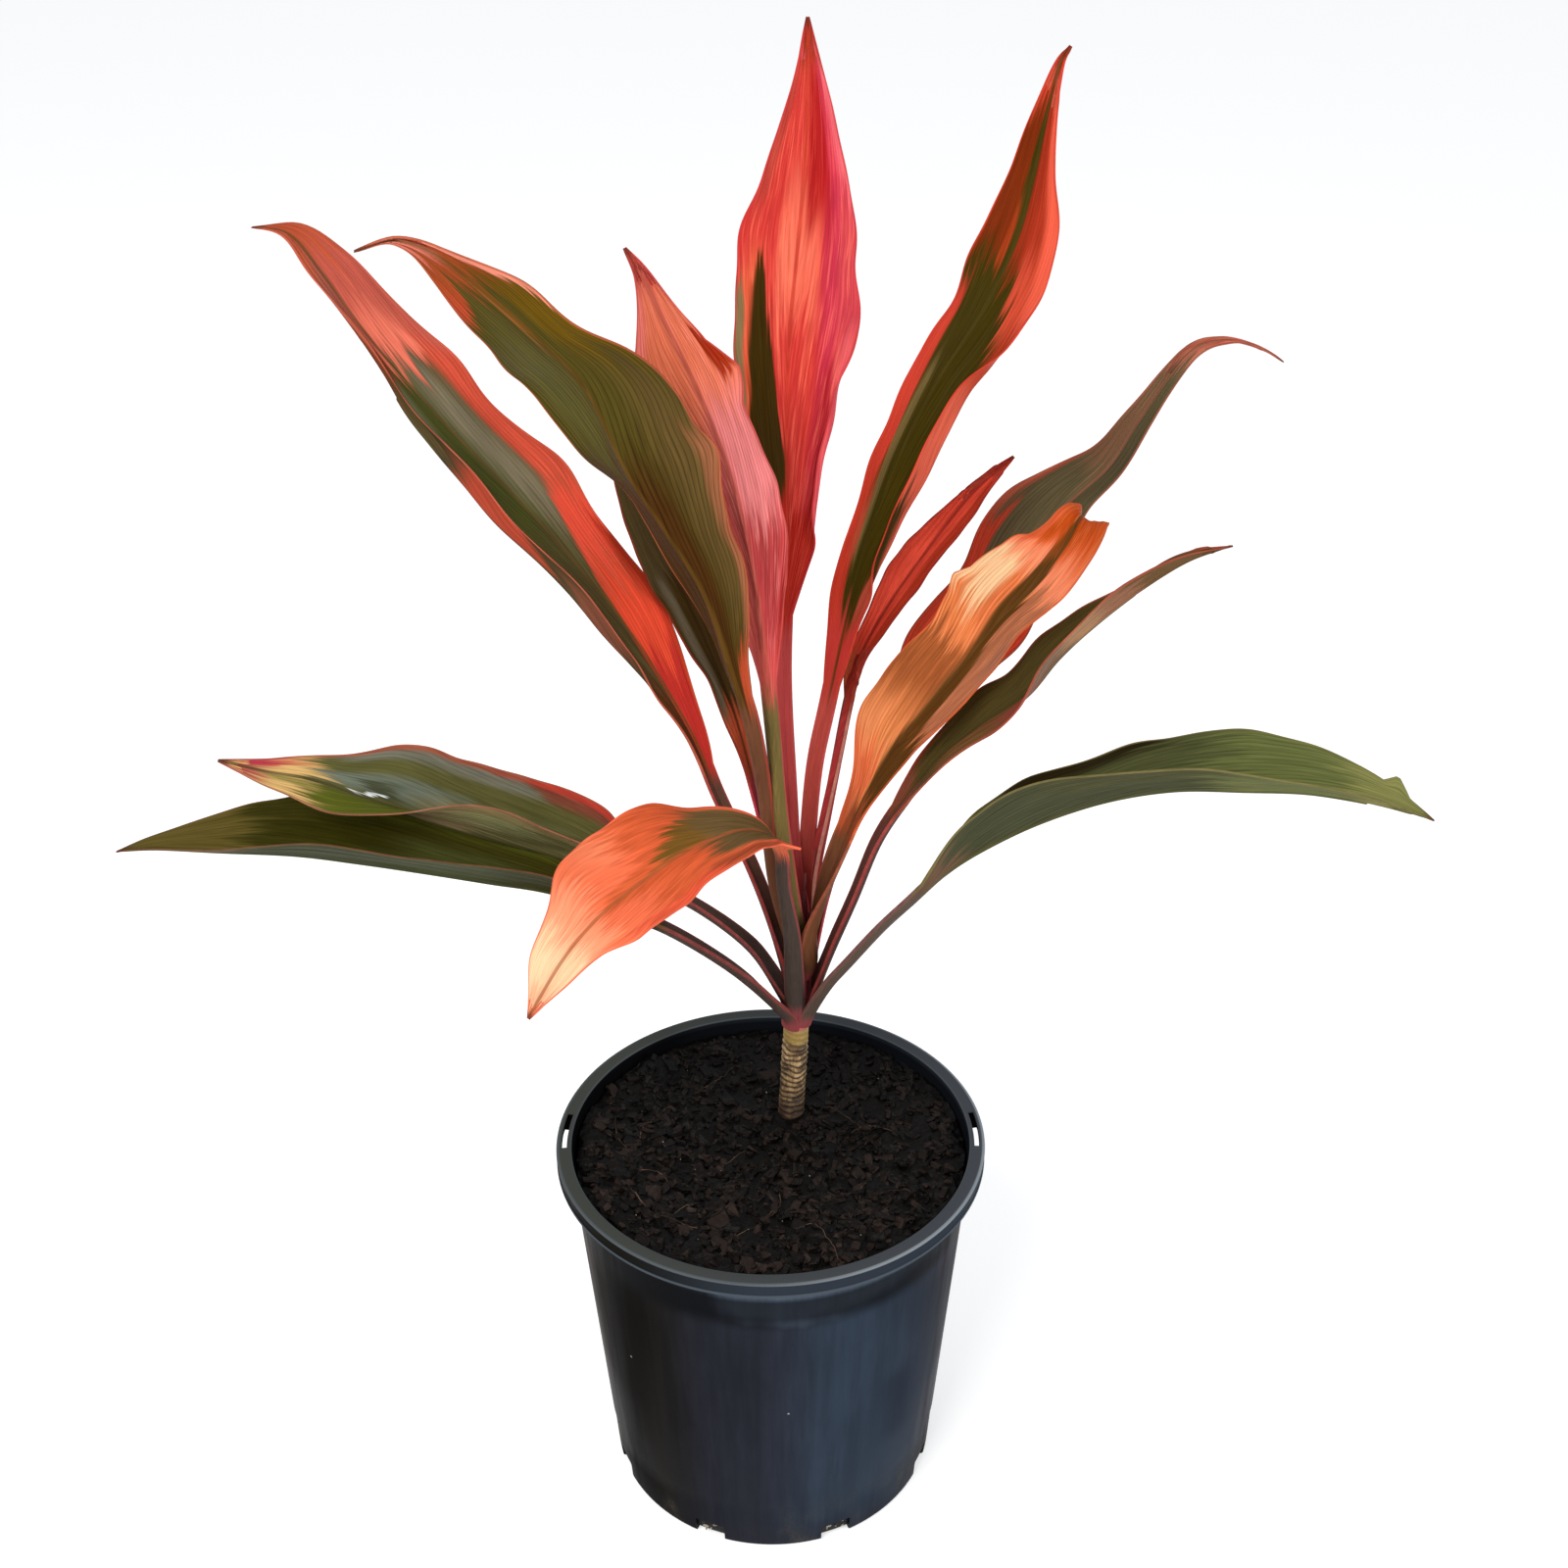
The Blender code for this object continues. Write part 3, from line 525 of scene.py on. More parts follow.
# Each leaf: where its foot sits on the crown (angle, height), its stalk (share of the length, half widths at
# foot and neck), its rib, its half widths from neck to tip, and how the blade rolls, folds, curls and waves.
# A hem is a folded margin: side, angle, start, end and where it begins. An ear is a small point: side, place,
# reach, size. Its colours follow, the upper and the under side in patches from neck to tip (0 to 100) and
# across (-100 to 100).
leaves = {
    "leaf_far_left": dict(
        slot="variegated_leaf", heading=142, seat=(160, 251), stalk=(0.27, 5.4, 4.0),
        rib=[(2, 35, 280), (-8, 38, 310), (-23, 45, 344), (-36, 52, 376), (-62, 65, 418), (-95, 80, 456),
             (-133, 96, 493), (-168, 110, 530), (-190, 119, 560), (-203, 124, 575), (-220, 130, 577)],
        left=(9, 22, 24, 29, 20, 8, 6), right=(13, 23, 25, 29, 26, 24, 17), roll=(5, 5, 5), fold=(14, 10),
        curl=-8, wave=(2.5, 4.0, 0.1), hem=(-1, 150, 0.1, 0.94, 0.66),
        top=["#54492A", ("#4B4D22", 38, 74, (-55, -50, 20, 20), 12),
             # the grey-green #827860 patch is a painted sheen
             ("#827860", 40, 73, (10, 10, 50, 48), 18, 85),
             ("#6A6D4E", 58, 72, (-72, -70, -36, -36), 12, 80), ("#6E5230", 40, 60, upTo(-60, -75), 10, 70),
             ("#DC4A30", -10, 30, beyond(-52, 10)), ("#E0503A", 30, 44, beyond(10, 52)),
             ("#CC503A", 43, 77, beyond(54, 62), 9), ("#C25A4A", 73, 120, whole, 7),
             ("#EC7860", 73, 81, (-20, -10, 72, 66), 6), ("#7C3C24", 70, 81, upTo(-20, -40), 6),
             ("#9E5846", 80, 95, upTo(-16, 0), 10, 90), ("#B85234", 90, 120, whole),
             ("#B83028", -20, 17, beyond(-12, 0)), ("#5A3018", -20, 15, upTo(-30, -25), 10),
             ("#BE3A24", 10, 36, beyond(78, 80), 6)],
        under=["#463A24", ("#7C4836", 19, 31, whole, 6, 80), ("#A84430", 38, 53, upTo(-78, -74), 7),
               ("#4E4226", 60, 74, whole), ("#74381E", 71, 82, whole), ("#A85440", 79, 120, whole)],
        margin="#C0604A", midrib="#5E4A28", stalkColours=("#5E4034", "#A84440"), seed=1),
    "leaf_olive": dict(
        slot="olive_leaf", heading=215, seat=(200, 268), stalk=(0.36, 5.2, 4.4),
        rib=[(2, 25, 310), (-2, 17, 360), (-7, 8, 399), (-14, 3, 428), (-24, -5, 465), (-38, -13, 495),
             (-51, -22, 522), (-63, -32, 556), (-75, -40, 574), (-102, -56, 606), (-119, -64, 618),
             (-134, -70, 616)],
        left=(10, 17, 25, 33, 33, 31, 15, 12, 5), right=(12, 19, 23, 22, 30, 20, 11),
        roll=(-24, -23, -36, -40), fold=(26, 27, 11, 8), curl=-10, wave=(3.0, 3.5, 0.6),
        top=["#4A4418", ("#E0705C", 84, 120, whole)],
        # the brownish-grey #5E4A26 patch on the under side is a painted sheen
        under=["#453610", ("#4C4216", 48, 86, whole, 15), ("#5E4A26", 14, 62, upTo(-46, -42), 20, 85),
               ("#585329", 50, 74, (20, 20, 80, 80), 20, 80), ("#664C0C", 66, 83, upTo(-30), 12, 90),
               ("#44270A", -10, 44, beyond(-40, -26), 16, 95), ("#9C5E40", 10, 50, upTo(-84), 8, 80),
               ("#9A5A20", 70, 88, (-5, -5, 12, 12), 5, 80), ("#B0442A", 76, 92, beyond(92, 5), 8),
               ("#9C4620", 83, 120, whole, 9), ("#EA826E", 91, 120, whole),
               ("#F0907A", 78, 95, upTo(-86, -40), 5), ("#B84A2C", -20, 9, upTo(-25, -45))],
        margin="#B0583A", midrib="#5C4016", stalkColours=("#6C442E", "#A84438"), veins=0.6, seed=2),
    "leaf_dark_back": dict(
        slot="dark_leaf", heading=125, seat=(132, 264), stalk=(0.36, 3.2, 3.4),
        rib=[(6, 43, 290), (0, 48, 318), (-8, 58, 348), (-17, 68, 380), (-30, 78, 412), (-44, 90, 440),
             (-58, 100, 468), (-70, 108, 492)],
        left=(6, 8, 12, 13, 17, 13, 8), right=(8, 9, 10, 10, 10, 9, 6), roll=(0, 0, 0), fold=(15, 10),
        curl=-8, wave=(2.0, 3.0, 0.3),
        # the grey #5C5240 patch on the upper side is a painted sheen
        top=["#38290F", ("#5C5240", 12, 62, (-86, -76, -42, -48), 12, 90), ("#463A20", 58, 120, whole),
             ("#A4482C", -20, 18, whole, 8)],
        under=["#2E2414"],
        margin="#84301E", midrib="#3A2814", stalkColours=("#84303A", "#B83C44"), seed=3),
    "leaf_pink_upright": dict(
        slot="red_leaf", heading=205, seat=(243, 276), stalk=(0.42, 4.2, 3.6), ears=[(-1, 0.7, 0.07, 5)],
        rib=[(9, 16, 316), (5, 16, 353), (2, 17, 394), (-1, 16, 431), (-5, 15, 467), (-14, 14, 509),
             (-25, 13, 541), (-37, 12, 568), (-45, 11, 587), (-51, 10, 597)],
        left=(8, 13, 17, 16, 15, 12, 6), right=(8, 14, 20, 24, 26, 22, 8), roll=(-55, -55, -60),
        fold=(10, 8), curl=-8, wave=(1.5, 3.0, 0.0),
        top=["#C03C38"],
        under=["#E46862", ("#E87452", 58, 96, whole, 16), ("#FF9090", 34, 64, upTo(-10, -2), 14, 90),
               ("#C84C46", 38, 58, beyond(12), 12, 80), ("#CC4848", 2, 38, whole, 15),
               # the brighter #F0685E patch on the lower blade is painted light over the olive leaf's shadow
               ("#F0685E", -6, 36, beyond(10), 10, 90), ("#A42E12", 69, 80, upTo(-74, -72), 3),
               ("#B02A28", 6, 24, upTo(-80, -84), 8, 80), ("#E4706A", 70, 92, beyond(70), 10, 80),
               ("#D0584A", 92, 120, whole), ("#E0504E", -10, 8, whole, 6, 70)],
        margin="#CC504A", midrib="#B85446", stalkColours=("#746438", "#B84A4A"), veins=0.4,
        mottle=("#F09088", 0.5), seed=4),
    "leaf_top_red": dict(
        slot="red_leaf", heading=95, seat=(112, 284), stalk=(0.38, 4.2, 3.8),
        rib=[(11, 39, 312), (9, 44, 350), (7, 49, 400), (8, 53, 441), (9, 58, 475), (9, 64, 508),
             (10, 72, 543), (13, 79, 573), (16, 86, 603), (18, 94, 635), (18, 100, 665)],
        left=(14, 18, 21, 23, 25, 17, 8), right=(12, 18, 25, 28, 25, 18, 9), roll=(0, 0, 0), fold=(16, 8),
        curl=-8, wave=(2.0, 3.0, 0.5), hem=(1, 150, 0.1, 0.56, 0.72),
        top=["#CA3832", ("#C4324A", 20, 94, beyond(48, 42), 14, 90),
             ("#EC6C54", 52, 74, (-30, -34, 40, 30), 12, 90), ("#A8181A", 68, 93, (6, 10, 60, 54), 10, 90),
             ("#A83A30", 70, 92, upTo(-74, -70), 8, 80), ("#EA6A72", 72, 95, beyond(80, 76), 8, 80),
             ("#C84248", 44, 72, beyond(62, 72), 8, 80), ("#B8262C", 14, 44, (34, 56, 78, 80), 10, 70),
             ("#EE6A6E", 20, 48, beyond(80, 74), 6, 80), ("#D8583A", 24, 62, (-86, -90, -42, -64)),
             ("#3A2A08", 17, 60, (-86, -70, 10, -52), 5), ("#7E6A46", 24, 56, upTo(-87, -84), 5),
             ("#B4261E", -20, 20, whole), ("#9A3820", 94.5, 120, whole, 5)],
        under=["#D8505A", ("#9A3820", 94.5, 120, whole, 5)],
        margin="#C0383A", midrib="#B83828", stalkColours=("#BC4A48", "#CC5450"), veins=0.2,
        mottle=("#F28A66", 0.3), seed=5),
    "leaf_upper_right": dict(
        slot="variegated_leaf", heading=50, seat=(62, 262), stalk=(0.33, 4.6, 4.2), ripple=2.0,
        rib=[(17, 38, 286), (18, 41, 318), (21, 44, 358), (27, 47, 390), (38, 56, 442), (46, 61, 469),
             (58, 68, 499), (73, 75, 527), (90, 82, 552), (103, 89, 578), (110, 95, 604), (118, 102, 643),
             (123, 104, 653)],
        left=(9, 9, 11, 12, 15, 14, 8), right=(9, 18, 25, 24, 24, 16, 6), roll=(-15, -15, -15),
        fold=(18, 10), curl=-6, wave=(2.0, 4.0, 0.4), hem=(1, 150, 0.13, 0.68, 0.62),
        top=["#3E3409", ("#C23A28", -10, 36, upTo(-26, -62)), ("#C63E2E", 34, 64, upTo(-46, -72)),
             # the grey-brown #7C683E strip is a painted sheen
             ("#7C683E", 20, 50, (-48, -50, -26, -28), 6, 70), ("#B04A36", 10, 21, beyond(42, 52)),
             ("#AE4A32", 19, 30, (-68, -72, -34, -44), 6, 80), ("#C85640", 32, 47, beyond(44, 52)),
             ("#AC3C22", 45, 62, beyond(58, 62)), ("#CE4C34", 60, 100, beyond(40, 6)),
             ("#EC6048", 62, 96, beyond(76, 68), 8, 90), ("#9A2C16", 70, 93, (8, 6, 66, 56), 8, 90),
             ("#78290A", 70, 93, upTo(-30, -18), 6, 95), ("#A83A18", 70, 80, (-34, -26, -12, -12), 5, 80),
             ("#C03E28", 92, 120, whole), ("#CC3E36", -20, 10, whole)],
        under=["#BE5440", ("#B2442E", 48, 66, whole, 8), ("#3A2A10", 12, 32, beyond(78, 82), 5)],
        margin="#C83E2E", midrib="#453A12", stalkColours=("#C45248", "#CC5450"), mottle=("#A03A1C", 0.4),
        seed=6),
    "leaf_small_red": dict(
        slot="red_leaf", heading=25, seat=(2, 284), stalk=(0.46, 2.6, 2.4),
        rib=[(21, 33, 309), (26, 40, 336), (31, 47, 362), (36, 53, 388), (42, 59, 408), (54, 65, 429),
             (69, 72, 449), (86, 79, 470), (99, 83, 482), (107, 86, 488)],
        left=(6, 6, 8, 11, 8, 5, 3), right=(3, 6, 7, 8, 8, 8, 5), roll=(-30, -30, -30), fold=(14, 10),
        curl=-6, wave=(1.2, 3.0, 0.2),
        top=["#D84A36", ("#A83420", 4, 95, beyond(45, 50), 12), ("#FF6048", 22, 62, upTo(12, 10), 16, 85),
             ("#C4603C", -20, 14, whole, 8)],
        under=["#A03A2C"],
        margin="#8E2A22", midrib="#8A2A20", stalkColours=("#A83838", "#C88A78"), seed=7),
    "leaf_dark_right": dict(
        slot="dark_leaf", heading=30, seat=(56, 248), stalk=(0.34, 4.0, 3.6),
        rib=[(24, 41, 288), (35, 49, 322), (49, 60, 349), (65, 71, 375), (82, 80, 399), (100, 88, 420),
             (117, 96, 441), (135, 105, 459), (153, 113, 473), (167, 121, 493), (187, 131, 519),
             (204, 135, 524), (221, 139, 519), (233, 142, 512)],
        left=(20, 20, 26, 20, 10, 4, 3), right=(22, 27, 19, 9, 8, 5, 4), roll=(-20, -20, -20), fold=(12, 8),
        curl=-8, wave=(2.0, 3.5, 0.7),
        top=["#5C5238", ("#865C44", 55, 74, upTo(-8), 10, 70), ("#504832", 40, 64, beyond(10), 15, 80),
             ("#D24A32", -10, 40, upTo(-20, -70)), ("#B4523C", 38, 62, upTo(-82, -92), 5, 80),
             ("#D84832", -10, 36, beyond(42, 86)), ("#B06A54", 78, 120, whole), ("#D0604C", 86, 120, whole)],
        under=["#6A4C38", ("#B8604A", 78, 120, whole, 8), ("#D8705C", 88, 120, whole)],
        margin="#9C5844", midrib="#8A5A44", stalkColours=("#6C3C34", "#B04440"), seed=8),
    "leaf_orange_folded": dict(
        slot="orange_leaf", heading=8, seat=(325, 257), stalk=(0.31, 7.2, 6.4), ears=[(-1, 0.595, 0.03, 4)],
        ripple=0.6,
        rib=[(20, 21, 288), (28, 19, 318), (39, 18, 350), (51, 16, 378), (65, 14, 400), (81, 12, 423),
             (96, 11, 445), (110, 11, 461), (120, 14, 474), (127, 25, 481), (130, 37, 480), (129, 47, 476)],
        left=(11, 26, 27, 24, 30, 24, 12), right=(8, 11, 16, 15, 16, 21, 14), roll=(-25, -25, -10),
        fold=(16, 14), curl=-10, wave=(2.0, 3.0, 0.8),
        top=["#D67C46", ("#9C522A", 32, 56, upTo(-5, -8), 10, 90),
             ("#E88C58", 14, 28, upTo(-50, -45), 8, 80), ("#E27C46", 50, 62, upTo(-10), 8),
             ("#F9C694", 59, 73, upTo(-36, -42), 8), ("#DC7240", 56, 72, (-36, -40, -8, -12), 8),
             ("#AC6848", 30, 72, beyond(30, 22), 8, 95), ("#8E5C48", 50, 62, beyond(78, 70), 8, 70),
             ("#F68C64", 71, 82, whole, 6), ("#E06030", 78, 120, whole),
             ("#573614", 7, 30, beyond(-5, -6), 7), ("#5C3A16", 28, 80, (-3, -24, 56, 8), 6),
             ("#C24A10", 81, 120, whole, 7), ("#784016", 78, 91, (-24, -16, 8, 6), 6),
             ("#D65A34", 74, 92, upTo(-80, -70), 6, 80), ("#DA643C", 8, 20, upTo(-12), 6, 90),
             ("#8C4428", -20, 8, beyond(-70, -60), 8), ("#B4502E", -20, 10, upTo(-60, -50), 6)],
        under=["#C06A4C", ("#D2500E", 60, 120, whole)],
        margin="#C85C34", midrib="#5E3E1C", stalkColours=("#6E442C", "#94503A"), veins=0.3,
        mottle=("#F0A070", 0.3), seed=9),
    "leaf_narrow_right": dict(
        slot="dark_leaf", heading=355, seat=(4, 239), stalk=(0.4, 5.0, 3.8),
        rib=[(27, 26, 270), (38, 21, 304), (48, 16, 337), (60, 8, 364), (73, 4, 385), (89, 1, 402),
             (106, -3, 417), (118, -5, 435), (131, -7, 450), (147, -9, 465), (165, -11, 479),
             (182, -12, 486)],
        left=(8, 10, 14, 14, 10, 7, 5), right=(12, 10, 13, 14, 14, 13, 9), roll=(-18, -22, 0, 0),
        fold=(32, 24, 46, 48), curl=-8, wave=(1.2, 3.0, 0.4),
        top=["#4A3F1E", ("#74502F", 18, 50, beyond(14, 12), 12, 90),
             ("#8C4236", 36, 52, beyond(32, 26), 10, 90), ("#7C6046", 50, 92, beyond(-10, -75), 12),
             ("#A67C58", 59, 71, beyond(10, -10), 8, 80), ("#A8442E", -10, 22, upTo(-66, -82)),
             ("#7C4432", -20, 11, whole, 8), ("#6A4C30", 80, 120, whole, 8, 80)],
        under=["#4C4228", ("#864C3A", 34, 52, whole, 6), ("#7A5E48", 48, 62, whole),
               ("#A27A58", 59, 72, whole), ("#8A5E46", 69, 82, whole), ("#664B2E", 79, 120, whole)],
        margin="#A04A38", midrib="#4A3E20", stalkColours=("#5C3A32", "#A04440"), seed=10),
    "leaf_low_right": dict(
        slot="olive_leaf", heading=355, seat=(322, 231), stalk=(0.33, 5.2, 4.6),
        ears=[(-1, 0.925, 0.025, 6)], ripple=0.5,
        rib=[(27, 17, 260), (36, 13, 275), (50, 8, 297), (63, 3, 315), (76, -1, 332), (91, -5, 346),
             (114, -10, 362), (141, -15, 375), (168, -19, 382), (196, -22, 383), (223, -25, 383),
             (251, -27, 378), (273, -29, 372)],
        left=(17, 23, 19, 25, 28, 22, 15), right=(16, 23, 24, 18, 14, 12, 6), roll=(25, 12, 0),
        fold=(52, 44), curl=-6, wave=(1.5, 3.0, 0.1),
        top=["#4E5230", ("#282210", 18, 52, upTo(-66, -76), 10), ("#666C3C", 60, 88, whole, 12, 90),
             ("#80804A", 84, 120, whole)],
        under=["#42442F", ("#4A4A2E", 30, 60, beyond(50), 15, 80), ("#666A40", 60, 90, whole, 12, 90),
               ("#7E7A4A", 84, 120, whole), ("#68503C", -10, 8, whole)],
        margin="#7A6E44", midrib="#4E4A2A", stalkColours=("#5A4C42", "#74504A"), veins=0.4, seed=11),
    "leaf_low_left": dict(
        slot="olive_leaf", heading=185, seat=(166, 237), stalk=(0.33, 6.0, 4.9), ripple=0.3,
        rib=[(-9, 32, 271), (-34, 30, 295), (-57, 28, 308), (-80, 27, 319), (-97, 26, 326), (-114, 25, 332),
             (-131, 24, 338), (-147, 23, 344), (-172, 22, 355), (-197, 21, 366), (-217, 20, 371),
             (-236, 19, 377)],
        left=(15, 20, 22, 22, 17, 17, 9), right=(26, 30, 32, 32, 28, 15, 8), roll=(-8, -8, -3, 30, 20),
        fold=(52, 52, 52, 18, 8), curl=-6, wave=(1.5, 2.5, 0.3),
        # 6E7668 is a painted blue-grey sheen and #3C3E24 the dark part of a painted reflection
        top=["#5A5830", ("#6E7668", 48, 80, (12, 16, 46, 48), 10, 90),
             ("#7E7854", 38, 54, (-4, 0, 34, 34), 10, 85), ("#3C3E24", 60, 70, (8, 8, 34, 34), 6, 80),
             ("#5E6420", 58, 80, upTo(-16, -14), 10), ("#747264", 30, 74, beyond(74, 76), 8, 85),
             ("#666840", 20, 40, (0, 0, 40, 40), 10, 80), ("#7A4232", 10, 30, beyond(66, 74), 6),
             ("#B84032", -10, 42, beyond(78, 93), 5), ("#98503A", 32, 84, beyond(93, 90), 4),
             ("#D8B070", 80, 94, whole, 7), ("#8E8445", 79, 90, (-45, -30, -14, -10), 6, 90),
             ("#D07C58", 82, 120, beyond(52, 30), 8), ("#B0564C", 90, 120, whole, 6),
             # E4EAEC is a painted glint
             ("#B8404A", 86, 120, beyond(50, -10), 7), ("#E4EAEC", 65.5, 69, (0, 0, 16, 16), 1.5, 90)],
        # the pale #A08C64 band on the under side is partly painted light, brightened over the shade there
        under=["#6A6640", ("#A08C64", 42, 62, whole, 12, 90), ("#8E8E60", 30, 48, upTo(-30), 10, 80),
               ("#86704A", 10, 50, upTo(-76), 10, 80), ("#5C5A22", 60, 80, whole),
               ("#D2A468", 80, 120, whole)],
        margin="#A06450", midrib="#4A4628", stalkColours=("#56443C", "#964844"), seed=12),
    "leaf_lowest_left": dict(
        slot="dark_leaf", heading=195, seat=(216, 230), stalk=(0.28, 6.0, 4.9),
        rib=[(-16, 20, 266), (-46, 16, 291), (-72, 14, 304), (-97, 12, 315), (-122, 10, 321),
             (-147, 8, 327), (-176, 5, 334), (-204, 2, 340), (-236, -2, 344), (-261, -5, 347),
             (-277, -7, 347)],
        left=(13, 20, 24, 25, 22, 15, 9), right=(15, 23, 29, 32, 33, 28, 14), roll=(-5, -5, -5),
        fold=(40, 40, 30), curl=-6, wave=(1.5, 2.5, 0.6),
        top=["#3D3A12", ("#333009", 46, 72, (22, 22, 62, 60), 12, 90),
             ("#4A4E26", 28, 50, (0, 0, 42, 42), 12, 85), ("#565A1C", 20, 66, beyond(62, 70), 10, 70),
             ("#645628", 78, 120, whole, 10, 90)],
        under=["#35381D", ("#3E4224", 34, 50, whole, 10, 80), ("#2C2A08", 10, 30, whole, 10, 80),
               ("#64563A", 80, 120, whole)],
        margin="#6E4A32", midrib="#3A3814", stalkColours=("#50403A", "#8A4440"), seed=13),
    "leaf_front_orange": dict(
        slot="orange_leaf", heading=230, seat=(258, 237), stalk=(0.42, 5.0, 4.4),
        ears=[(-1, 0.05, 0.045, 8)], ripple=0.6,
        rib=[(10, 15, 285), (6, 9, 318), (5, 2, 340), (-1, -6, 354), (-11, -15, 361), (-22, -24, 362),
             (-37, -35, 360), (-53, -46, 353), (-68, -57, 345), (-82, -68, 332), (-96, -80, 312)],
        left=(13, 18, 18, 21, 21, 12, 8), right=(10, 19, 29, 29, 32, 18, 12), roll=(15, 15, 10),
        fold=(12, 8), curl=-12, wave=(2.5, 3.0, 0.5),
        top=["#F4724C", ("#F2835C", 48, 62, beyond(50), 12, 80),
             ("#CE5E34", 34, 66, (-28, -14, 26, 10), 7, 90), ("#D05A32", 24, 52, whole, 12, 90),
             ("#E0543A", 20, 60, upTo(-74, -84), 8, 80), ("#745322", 26, 46, (8, 0, 74, 16), 7),
             ("#6C5634", -20, 31, (-84, -60, 92, 80), 8), ("#A04C2E", 10, 34, upTo(-80, -70), 7, 90),
             ("#B8402E", -20, 8, upTo(-56, -62), 5), ("#FA9A72", 69, 120, whole, 10),
             ("#FBCFA2", 79, 95, whole, 10), ("#F2B48C", 92, 120, whole)],
        under=["#D86A4A"],
        margin="#E0664A", midrib="#A85A34", stalkColours=("#4A3E38", "#8C4844"), veins=0.12,
        mottle=("#D8542E", 0.2), seed=14),
}


# The pot: a thin moulded cone under a flat rim with a skirt

potSizes = dict(height=187.0, rim=100.0, rimInner=92.8, rimThickness=1.6, skirt=7.5, skirtDraft=0.3,
                lipInside=6.0, wallTop=93.9, base=79.0, wall=1.5, floor=2.5, steps=192, smooth=32,
                footRing=((6.0, 0.8), (5.4, 0.0), (2.6, 0.0)), footRound=2.2,  # base inset, height
                band=((0.3, 18.0), (0.5, 28.0), (0.0, 29.5), (0.0, 80.0), (0.0, 140.0)),  # wall inset, height
                skirtRound=0.45, rimRound=0.85, lipRound=0.8,
                notches=8, firstNotch=22.5, notchSize=(12, 15, 13), notchRise=3.5, notchRound=1.1,
                slotRadii=(94.9, 97.6), slotLength=25.0, slotAngles=(2.0, 178.0), slotOpen=14.0,
                slotFloor=185.75, slotFoot=182.4, slotLedge=0.3, slotCut=7.0)


def wallRadius(height):
    pot = potSizes
    return pot["base"] + (pot["wallTop"] - pot["base"]) * height / (pot["height"] - pot["rimThickness"])


def stackRings(rings, steps):
    # a closed turned body: a disc extruded and resized from ring to ring of (radius, height, x, y)
    radius, height, x, y = rings[0]
    deselectAll()
    bpy.ops.mesh.primitive_circle_add(vertices=steps, radius=radius * mm, fill_type="NGON",
                                      location=(x * mm, y * mm, height * mm))
    bpy.ops.object.transform_apply(location=True)
    startEdit()
    for (r0, z0, x0, y0), (r1, z1, x1, y1) in zip(rings, rings[1:]):
        shift = ((x1 - x0) * mm, (y1 - y0) * mm, (z1 - z0) * mm)
        bpy.ops.mesh.extrude_region_move(TRANSFORM_OT_translate={"value": shift})
        if r1 != r0:
            bpy.ops.transform.resize(value=(r1 / r0, r1 / r0, 1), center_override=(x1 * mm, y1 * mm, z1 * mm))
    endEdit()
    return bpy.context.active_object


def roundedCorner(centre, radius, fromAngle, toAngle, pieces=4):
    points = []
    for k in range(pieces + 1):
        turn = math.radians(fromAngle + (toAngle - fromAngle) * k / pieces)
        points.append((centre[0] + radius * math.cos(turn), centre[1] + radius * math.sin(turn)))
    return points


def potProfile():
    pot = potSizes
    top, rim, base, wallTop, rimInner = [pot[k] for k in ("height", "rim", "base", "wallTop", "rimInner")]
    underRim = top - pot["rimThickness"]
    skirtInner = rim - pot["rimThickness"]
    skirtFoot = top - pot["skirt"]
    lipEnd = top - pot["lipInside"]
    foot, skirt, edge, lip = [pot[k] for k in ("footRound", "skirtRound", "rimRound", "lipRound")]
    profile = [(base - inset, z) for inset, z in pot["footRing"]]
    profile += roundedCorner((base - foot, foot), foot, -90, 0)
    profile += [(wallRadius(z) - inset, z) for inset, z in pot["band"]]
    profile += [(wallTop - 0.15, underRim - 2.0), (wallTop + 0.6, underRim - 0.3),
                (skirtInner - 0.8, underRim), (skirtInner, underRim - 0.8),
                (skirtInner + pot["skirtDraft"], skirtFoot + 0.2)]
    profile += roundedCorner((rim - skirt, skirtFoot + skirt), skirt, -90, 0, 3)
    profile += [(rim - 0.05, skirtFoot + 1.6), (rim - 0.35, skirtFoot + 2.0), (rim - 0.35, top - 1.4)]
    profile += roundedCorner((rim - edge, top - edge), edge, 0, 90)
    profile += roundedCorner((rimInner + lip, top - lip), lip, 90, 180)
    profile += [(rimInner, top - 2.2)]
    return profile + [(wallRadius(z) - pot["wall"], z) for z in (lipEnd, 120.0, 60.0, pot["floor"])]


def notchCutter(turn):
    pot = potSizes
    reach = pot["base"] * mm
    place = (reach * math.cos(turn), reach * math.sin(turn), pot["notchRise"] * mm)
    deselectAll()
    bpy.ops.mesh.primitive_cube_add(size=1, location=place, rotation=(0, 0, turn),
                                    scale=[s * mm for s in pot["notchSize"]])
    cutter = bpy.context.active_object
    bpy.ops.object.transform_apply(location=True, rotation=True, scale=True)
    applyModifier(cutter, "BEVEL", width=pot["notchRound"] * mm, segments=2)
    return cutter


def slotCutter(angle, hand, deep):
    # a shallow recess over the slot's length, cut through only in its nearer part
    pot = potSizes
    cutter, flat = addGrid(1, 12)
    inner, outer = pot["slotRadii"]
    ledge = pot["slotLedge"] if deep else 0.0
    share = pot["slotOpen"] / pot["slotLength"] if deep else 1.0
    radius = np.where(flat[:, 0] < 0, inner + ledge, outer - ledge)
    length = (flat[:, 1] * share + 0.8 * (share - 1)) * hand
    turn = math.radians(angle) + length * pot["slotLength"] / (inner + outer)
    low = np.full(len(turn), pot["slotFoot"] if deep else pot["slotFloor"])
    setVertexPlaces(cutter, np.stack([radius * np.cos(turn), radius * np.sin(turn), low], axis=1) * mm)
    startEdit()
    bpy.ops.mesh.extrude_region_move(TRANSFORM_OT_translate={"value": (0, 0, pot["slotCut"] * mm)})
    endEdit()
    return cutter


